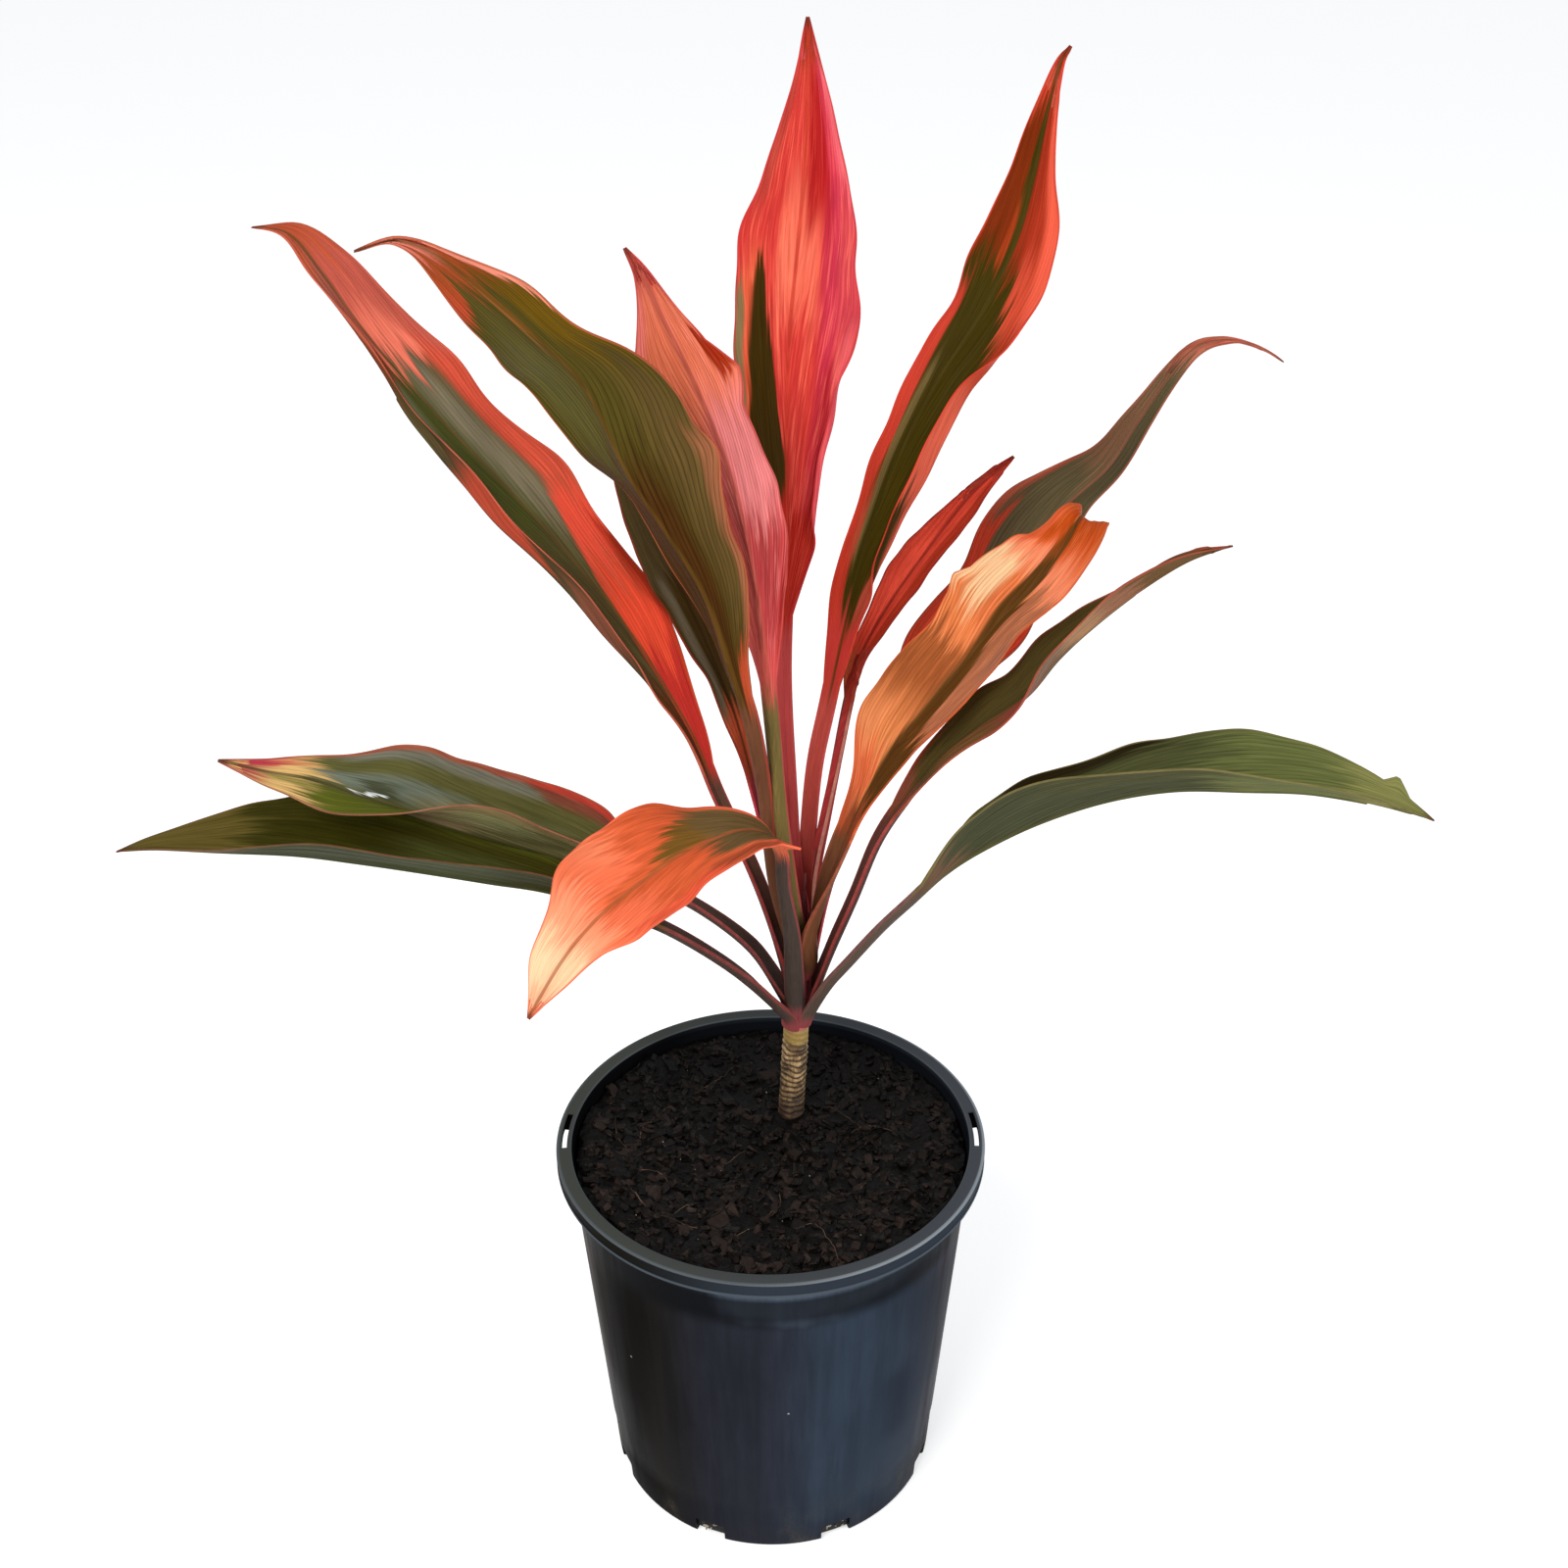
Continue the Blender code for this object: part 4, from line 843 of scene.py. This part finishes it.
def makePot():
    pot = potSizes
    piece = stackRings([(r, z, 0, 0) for r, z in potProfile()], pot["steps"])
    turns = [math.radians(pot["firstNotch"] + 360 / pot["notches"] * k) for k in range(pot["notches"])]
    cutters = [notchCutter(turn) for turn in turns]
    for angle, hand in zip(pot["slotAngles"], (1, -1)):
        cutters += [slotCutter(angle, hand, deep) for deep in (False, True)]
    for cutter in cutters:
        applyModifier(piece, "BOOLEAN", operation="DIFFERENCE", object=cutter, solver="EXACT")
        bpy.data.objects.remove(cutter, do_unlink=True)
    finishPiece(piece, "pot_shell", plasticMaterial(), "pot", smooth=pot["smooth"])


# The wall's paint, by height (10 foot, 100 rim) and left to right in the photograph's view (-100 to 100)
# Much of this is painted reflection and shade: a bluish sheen right of centre and brown and black bands at
# the left.
wallReflectionPaint = ["#23252D", ("#29323E", 12, 120, (10, 14, 70, 72), 20),
             ("#1A202A", 40, 62, (52, 52, 66, 66), 8, 60), ("#151920", -20, 120, beyond(82), 10),
             ("#171514", -20, 120, upTo(-36, -38), 16), ("#20130B", -20, 120, upTo(-76, -78), 12),
             ("#050302", -20, 120, (-80, -80, -56, -58), 8), ("#0C0D12", -20, 10, upTo(-20, -30), 16, 80),
             # painted light: a pale band just under the rim that lifts the rim's shadow
             ("#525D6C", 90.5, 140, (-24, -24, 76, 76), 5, 85),
             ("#2C2C32", -20, 13, (-26, -30, 56, 60), 16, 70)]

# Left and right tones for some parts, and the height (Z) and the distance from the axis (Out), in metres,
# where a part starts and where it is full
# Most of these tones are painted light and shade: the skirt's two sides, the bead line, the lighter rim top
# with its glints and lip, the brown reflection, the dark inside and the dark slot floors.
plasticLooks = dict(brownReflection="#33191A", dust="#524E42", dustZ=(0.036, 0.004), speck="#9A968C",
                    skirt=("#14130F", "#2B3139"), skirtZ=(0.1788, 0.1794),
                    ring="#4A525A", beadHighlightZ=(0.1814, 0.1808), beadHighlightOut=(0.0994, 0.0998),
                    top=("#454844", "#464A50"), topZ=(0.1861, 0.1867), glint=("#565C60", "#868E94"),
                    glintOut=(0.0983, 0.0991), lip=("#50565A", 0.0937, 0.0931),
                    inside="#0C0D10", innerShadeZ=(0.150, 0.160), innerShadeOut=(0.0930, 0.0926),
                    gap="#040405", gapZ=(0.1864, 0.1860), gapFrom=(0.0948, 0.0951), gapTo=(0.0977, 0.0974))


def plasticMaterial():
    look = plasticLooks
    material, shader = newMaterial("black_plastic_skin", 0.36, 0.004)
    place = objectPlace(shader)
    x, y, z = splitVector(place)
    outward = calc("SQRT", timesPlus(x, x, times(y, y)))
    clouds = noiseOn(place, (14, 14, 9), 4.0, 0.6)
    drags = noiseOn(place, (130, 130, 4), 4.0, 0.65)
    grit = noiseOn(place, (900, 900, 900))
    # the wall's painted reflections and shade, by height and left to right
    colour = paintPatches(wallReflectionPaint, timesPlus(clouds, 0.2, times(z, 5.0)),
                          drift(times(x, 10.0), drags, 0.10))
    colour = shade(colour, times(smoothStep(drags, 0.25, 0.8, 0.84, 1.2),
                                 smoothStep(clouds, 0.3, 0.7, 0.85, 1.15)))
    # painted reflection: brown streaks at the right side of the wall
    brownReflection = times(smoothStep(drags, 0.52, 0.72), smoothStep(x, 0.062, 0.080, 0.0, 0.75))
    colour = mixColour(brownReflection, colour, look["brownReflection"])
    dust = times(smoothStep(clouds, 0.50, 0.64), smoothStep(z, *look["dustZ"], 0.0, 0.8))
    dust = times(dust, smoothStep(grit, 0.35, 0.65, 0.35, 1.0))
    colour = mixColour(dust, colour, look["dust"])
    # painted shade and reflection: the skirt is darker and browner at the left, bluer and lighter at the
    # right
    skirt = smoothStep(z, *look["skirtZ"])
    colour = mixColour(skirt, colour, mixColour(smoothStep(x, -0.07, 0.0), *look["skirt"]))
    # a painted highlight: a thin lighter line along the bead on the skirt
    ring = times(smoothStep(z, *look["beadHighlightZ"]), smoothStep(outward, *look["beadHighlightOut"]))
    colour = mixColour(times(times(ring, skirt), 0.8), colour, look["ring"])
    # painted light: the rim's flat top is lighter where it faces up, with painted glints along its outer edge
    # and a painted highlight along the inner lip
    flat = mixColour(smoothStep(x, -0.08, 0.08), *look["top"])
    flat = tint(flat, outward, mixColour(smoothStep(x, -0.02, 0.07), *look["glint"]), *look["glintOut"])
    flat = tint(flat, outward, *look["lip"])
    colour = tint(colour, z, flat, *look["topZ"])
    # painted shade: the inner wall below the rim is darkened
    inside = times(smoothStep(outward, *look["innerShadeOut"]), smoothStep(z, *look["innerShadeZ"]))
    colour = mixColour(times(inside, 0.85), colour, look["inside"])
    # painted shadow: the floors of the shallow slot recesses are near black
    gap = times(smoothStep(outward, *look["gapFrom"]), smoothStep(outward, *look["gapTo"]))
    colour = mixColour(times(gap, smoothStep(z, *look["gapZ"])), colour, look["gap"])
    dots = addNode("ShaderNodeTexVoronoi", {"Vector": place, "Scale": 46.0, "Randomness": 1.0})
    specks = times(smoothStep(dots.outputs["Distance"], 0.034, 0.016), smoothStep(clouds, 0.54, 0.60))
    colour = mixColour(specks, colour, look["speck"])
    plug(colour, shader, "Base Color")
    plug(timesPlus(dust, 0.5, smoothStep(drags, 0.3, 0.75, 0.28, 0.42)), shader, "Roughness")
    addBump(shader, timesPlus(drags, 0.5, times(grit, 0.2)), 0.00010, 0.4)
    return material


# The potting mix: bark chips and peat, with root fibres and a few white specks

mixSizes = dict(top=174.0, rise=8.5, room=0.6, swell=2.4, swellSize=38.0, lump=2.45, lumpSize=14.0,
                crumb=0.8, crumbSize=3.2, mound=3.0, moundSize=17.0, calm=0.8, calmSize=14.0,
                edgeDrop=1.5, edgeStart=0.93, edgeBand=0.07, caneRoom=9.0, grid=210, smooth=40, seed=11,
                colours=("#030201", "#120B08"))


def mixHeight(x, y):
    mix = mixSizes
    swell = noise.noise(Vector((x, y, 3.1)) / mix["swellSize"]) * mix["swell"]
    distances, points = noise.voronoi(Vector((x, y, 0.0)) / mix["lumpSize"])
    lump = noise.cell(points[0] * 7.0) * mix["lump"] * min(1.0, 2.5 * (distances[1] - distances[0]) + 0.3)
    crumbs = noise.fractal(Vector((x, y, 7.0)) / mix["crumbSize"], 0.8, 2.2, 4) * mix["crumb"]
    centreX, centreY = crownCentre(mix["top"])
    fromCane = math.hypot(x - centreX, y - centreY)
    calm = 1 - mix["calm"] * math.exp(-(fromCane / mix["calmSize"]) ** 2)
    rise = mix["rise"] * (math.hypot(x, y) / potSizes["wallTop"]) ** 2
    mound = mix["mound"] * math.exp(-(fromCane / mix["moundSize"]) ** 2)
    return mix["top"] - 0.4 + rise + mound + (swell + lump + crumbs) * calm


def mixEdge(height, room):
    return wallRadius(height) - potSizes["wall"] - room


def makeMixBody():
    edge = mixEdge(mixSizes["top"], mixSizes["room"])
    low = potSizes["floor"] + 0.3
    shrink = mixEdge(low, mixSizes["room"]) / edge
    piece, flat = addGrid(mixSizes["grid"], mixSizes["grid"])
    x, y = flat[:, 0].copy(), flat[:, 1].copy()
    discX = x * np.sqrt(1 - y * y / 2) * edge
    discY = y * np.sqrt(1 - x * x / 2) * edge
    heights = []
    for px, py in zip(discX, discY):
        rim = max(0.0, math.hypot(px, py) / edge - mixSizes["edgeStart"]) / mixSizes["edgeBand"]
        heights.append(mixHeight(px, py) - mixSizes["edgeDrop"] * rim)
    setVertexPlaces(piece, np.stack([discX, discY, heights], axis=1) * mm)
    startEdit()
    bpy.ops.mesh.select_mode(type="EDGE")
    bpy.ops.mesh.select_all(action="DESELECT")
    bpy.ops.mesh.select_non_manifold()
    bpy.ops.mesh.extrude_region_move(TRANSFORM_OT_translate={"value": (0, 0, -100 * mm)})
    bpy.ops.transform.resize(value=(1, 1, 0), center_override=(0, 0, low * mm))
    bpy.ops.transform.resize(value=(shrink, shrink, 1), center_override=(0, 0, low * mm))
    bpy.ops.mesh.edge_face_add()
    bpy.ops.mesh.select_mode(type="VERT")
    endEdit()
    material = mixMaterial("potting_mix_skin", mixSizes["colours"])
    finishPiece(piece, "potting_mix_body", material, "potting_mix", smooth=mixSizes["smooth"])


def scatterPlaces(count, draw, margin):
    edge = mixEdge(mixSizes["top"], margin)
    centreX, centreY = crownCentre(mixSizes["top"])
    places = []
    while len(places) < count:
        x, y = draw.uniform(-edge, edge), draw.uniform(-edge, edge)
        if math.hypot(x, y) < edge and math.hypot(x - centreX, y - centreY) > mixSizes["caneRoom"]:
            places.append((x, y))
    return places


chipSizes = dict(count=1700, length=(1.6, 5.8), longShare=0.12, longer=(1.4, 2.0), width=(0.35, 0.8),
                 thickness=(0.7, 1.8), bevel=0.14, jitter=0.16, tilt=0.45, lift=0.2, margin=5.0, dark=2.4,
                 colours=("#040302", "#3A2C26"))


def makeChips():
    chip = chipSizes
    draw = random.Random(mixSizes["seed"])
    deselectAll()
    bpy.ops.mesh.primitive_cube_add(size=1)
    master = bpy.context.active_object
    startEdit()
    bpy.ops.mesh.bevel(offset=chip["bevel"], segments=1, affect="EDGES")
    bpy.ops.object.mode_set(mode="OBJECT")
    shape = vertexPlaces(master)
    faces = [list(face.vertices) for face in master.data.polygons]
    bpy.data.objects.remove(master, do_unlink=True)
    points, allFaces, tones = [], [], []
    for x, y in scatterPlaces(chip["count"], draw, chip["margin"]):
        long = draw.uniform(*chip["length"])
        if draw.random() < chip["longShare"]:
            long *= draw.uniform(*chip["longer"])
        size = np.array([long, long * draw.uniform(*chip["width"]), draw.uniform(*chip["thickness"])])
        body = shape * size
        jitter = [[draw.uniform(-chip["jitter"], chip["jitter"]) for _ in range(3)] for _ in body]
        body += np.array(jitter) * size.mean()
        for axis, spread in ((0, chip["tilt"]), (1, chip["tilt"]), (2, math.pi)):
            turn = draw.uniform(-spread, spread)
            a, b = [k for k in range(3) if k != axis]
            body[:, a], body[:, b] = (body[:, a] * math.cos(turn) - body[:, b] * math.sin(turn),
                                      body[:, a] * math.sin(turn) + body[:, b] * math.cos(turn))
        body += np.array([x, y, mixHeight(x, y) + chip["lift"]])
        start = len(points)
        points.extend(body * mm)
        allFaces.extend([[start + k for k in face] for face in faces])
        tones.extend([draw.random() ** chip["dark"]] * len(body))
    mesh = bpy.data.meshes.new("chips")
    mesh.from_pydata([tuple(p) for p in points], [], allFaces)
    piece = addObject("chips", mesh)
    addAttribute(piece, "tone", tones, "FLOAT")
    finishPiece(piece, "bark_chips", mixMaterial("bark_chip_skin", chip["colours"], "tone"))


fibreLooks = dict(parts=17, lift=1.0, bob=(-0.1, 0.2), taper=0.5, wander=0.16, colours=("#3E2C22", "#7A5E4A"))

# Loose roots: start, direction, length, bend of the whole run in degrees, thickness
fibres = [(-64, -28, -62, 44, 25, 0.22), (-60, -14, 20, 26, -160, 0.20), (-62, 8, 80, 30, -60, 0.16),
          (-34, -38, 200, 24, 50, 0.16), (-20, -60, 10, 30, 40, 0.15), (16, -52, 340, 28, -60, 0.16),
          (44, -20, 250, 24, 70, 0.15), (58, 12, 120, 22, 90, 0.14), (-12, 4, 215, 20, 40, 0.16),
          (28, 30, 330, 22, -50, 0.14), (-36, 44, 30, 26, 60, 0.14), (4, -30, 280, 22, -80, 0.15),
          (66, -34, 150, 20, 60, 0.15), (-74, 22, 260, 24, 30, 0.16)]


def makeFibres():
    look = fibreLooks
    parts, wander = look["parts"], look["wander"]
    draw = random.Random(mixSizes["seed"] + 1)
    pieces = []
    for x, y, heading, length, bend, thickness in fibres:
        curve = bpy.data.curves.new("fibre", "CURVE")
        curve.dimensions = "3D"
        curve.bevel_depth = thickness * mm
        curve.bevel_resolution = 1
        curve.use_fill_caps = True
        turn = math.radians(heading)
        step = length / parts
        spline = curve.splines.new("POLY")
        spline.points.add(parts)
        for k, point in enumerate(spline.points):
            point.co = (x * mm, y * mm, (mixHeight(x, y) + look["lift"] + draw.uniform(*look["bob"])) * mm, 1)
            point.radius = 1.0 - look["taper"] * k / parts
            x, y = x + step * math.cos(turn), y + step * math.sin(turn)
            turn += math.radians(bend) / parts + draw.uniform(-wander, wander)
        pieces.append(addObject("fibre", curve))
    selectPieces(pieces)
    bpy.ops.object.convert(target="MESH")
    piece = joinPieces(list(bpy.context.selected_objects))
    material, shader = newMaterial("root_fibre_skin", 0.7, 0.2)
    patchy = smoothStep(noiseOn(objectPlace(shader), 90.0), 0.4, 0.6)
    plug(mixColour(patchy, *look["colours"]), shader, "Base Color")
    finishPiece(piece, "root_fibres", material)


speckSizes = dict(count=22, radius=(0.2, 0.5), lift=1.1, flat=(0.6, 1.0), margin=6.0,
                  colours=("#7C7264", "#BEB6A8"))
# pale root ends that show in the two front drain notches
rootEndSizes = dict(count=5, notches=(247.5, 292.5), spread=4.5, radius=(0.6, 1.1), reach=77.2,
                    heights=(3.4, 8.0), long=2.2, flat=(0.5, 0.9))


def addBlob(draw, radius, place, long, flat):
    deselectAll()
    bpy.ops.mesh.primitive_ico_sphere_add(subdivisions=1, radius=radius * mm,
                                          location=[k * mm for k in place],
                                          rotation=[draw.uniform(0, 3) for _ in range(3)],
                                          scale=(long, draw.uniform(*flat), draw.uniform(*flat)))
    return bpy.context.active_object


def makeSpecks():
    draw = random.Random(mixSizes["seed"] + 2)
    speck, end = speckSizes, rootEndSizes
    pieces = []
    for x, y in scatterPlaces(speck["count"], draw, speck["margin"]):
        place = (x, y, mixHeight(x, y) + speck["lift"])
        pieces.append(addBlob(draw, draw.uniform(*speck["radius"]), place, 1, speck["flat"]))
    for angle in end["notches"]:
        for _ in range(end["count"]):
            turn = math.radians(angle + draw.uniform(-end["spread"], end["spread"]))
            radius = draw.uniform(*end["radius"])
            place = (end["reach"] * math.cos(turn), end["reach"] * math.sin(turn),
                     draw.uniform(*end["heights"]))
            pieces.append(addBlob(draw, radius, place, end["long"], end["flat"]))
    piece = joinPieces(pieces)
    material, shader = newMaterial("perlite_skin", 0.85, 0.1)
    plug(mixColour(noiseOn(objectPlace(shader), 300.0), *speck["colours"]), shader, "Base Color")
    finishPiece(piece, "perlite_specks", material)


def mixMaterial(name, colours, tone=None):
    material, shader = newMaterial(name, 0.48, 0.16)
    place = objectPlace(shader)
    crumbs = noiseOn(place, 420.0, 4.0, 0.65)
    clouds = noiseOn(place, 45.0, 3.0)
    factor = times(smoothStep(crumbs, 0.42, 0.72), smoothStep(clouds, 0.3, 0.7, 0.35, 1.0))
    if tone:
        factor = timesPlus(readAttribute(shader, tone, "Fac"), 0.65, times(factor, 0.35))
        # painted shade: the chips get darker towards the back of the pot
        factor = times(factor, smoothStep(splitVector(place)[1], -0.05, 0.07, 1.0, 0.4))
    plug(mixColour(factor, *colours), shader, "Base Color")
    addBump(shader, crumbs, 0.0008, 0.8)
    return material


# The cane, with a scar ring for each fallen leaf, and the crown above it

caneSizes = dict(foot=150.0, steps=56, rise=0.7, scar=3.1, scarWander=0.55, relief=0.9, swell=0.45,
                 sheath=0.5, sheathRise=(222, 8), sheathFall=(246, 30), smooth=60)

# A layer is its colour, where it starts and where it is full (a share of the ring, or metres up) and its
# strength
caneLooks = dict(bark=("#6E5230", "#C6A272"), blotch=("#4A321C", 0.44, 0.62, 0.9),
                 ring=("#2A180C", 0.42, 0.86, 0.92), ridge=("#DCC296", 0.22, 0.05, 0.6),
                 foot=("#2E1C10", 0.202, 0.180, 0.8), collar=("#A88A44", 0.218, 0.223, 0.7),
                 crown=("#D2566A", 0.2275, 0.2305), bud=("#8A4444", 0.244, 0.258))


def makeCane():
    cane = caneSizes
    heights = list(np.arange(cane["foot"], crown["tip"], cane["rise"])) + [crown["tip"]]
    rings = [(crownRadius(z), z, *crownCentre(z)) for z in heights]
    piece = stackRings(rings, cane["steps"])
    places = vertexPlaces(piece) / mm
    z = places[:, 2]
    x, y = crownCentre(z)
    turn = np.arctan2(places[:, 1] - y, places[:, 0] - x)
    wander = np.array([noise.noise(Vector((math.cos(a), math.sin(a), h / 9.0))) for a, h in zip(turn, z)])
    scar = z / cane["scar"] + cane["scarWander"] * wander
    ring = np.abs(scar - np.floor(scar) - 0.5) * 2  # 1 at a scar, 0 between
    below = 1 - ease((z - crown["height"] + 6) / 8)
    ridge = cane["relief"] * ((1 - ring) ** 0.5 - 0.25)
    rise, fall = [ease((z - low) / reach) for low, reach in (cane["sheathRise"], cane["sheathFall"])]
    sheath = cane["sheath"] * rise * (1 - fall)
    radius = np.hypot(places[:, 0] - x, places[:, 1] - y)
    grown = (radius + (ridge + cane["swell"] * wander) * below + sheath) / np.maximum(radius, 0.3)
    grow = np.where(radius > 0.3, grown, 1.0)
    setVertexPlaces(piece, np.stack([x + (places[:, 0] - x) * grow, y + (places[:, 1] - y) * grow, z],
                                    axis=1) * mm)
    addAttribute(piece, "scar", np.stack([ring, scar, wander], axis=1))
    finishPiece(piece, "cane_stem", caneMaterial(), "cane", smooth=cane["smooth"])


def caneMaterial():
    look = caneLooks
    material, shader = newMaterial("cane_bark_skin", 0.62)
    place = objectPlace(shader)
    z = splitVector(place)[2]
    ring = splitVector(readAttribute(shader, "scar"))[0]
    fibrous = noiseOn(place, (700, 700, 160), 3.0, 0.6)
    colour = mixColour(smoothStep(fibrous, 0.32, 0.68), *look["bark"])
    colour = tint(colour, noiseOn(place, (150, 150, 110)), *look["blotch"])
    layers = ((ring, "ring"), (ring, "ridge"), (z, "foot"), (z, "collar"), (z, "crown"), (z, "bud"))
    for value, layer in layers:
        colour = tint(colour, value, *look[layer])
    plug(colour, shader, "Base Color")
    addBump(shader, fibrous, 0.0003, 0.6)
    return material


print("scene: camera and studio")
addCamera()
addStudio()
print("scene: pot")
makePot()
print("scene: potting mix")
makeMixBody()
makeChips()
makeFibres()
makeSpecks()
print("scene: cane")
makeCane()
for leafName, leafShape in leaves.items():
    print("scene:", leafName)
    makeLeaf(leafName, leafShape)
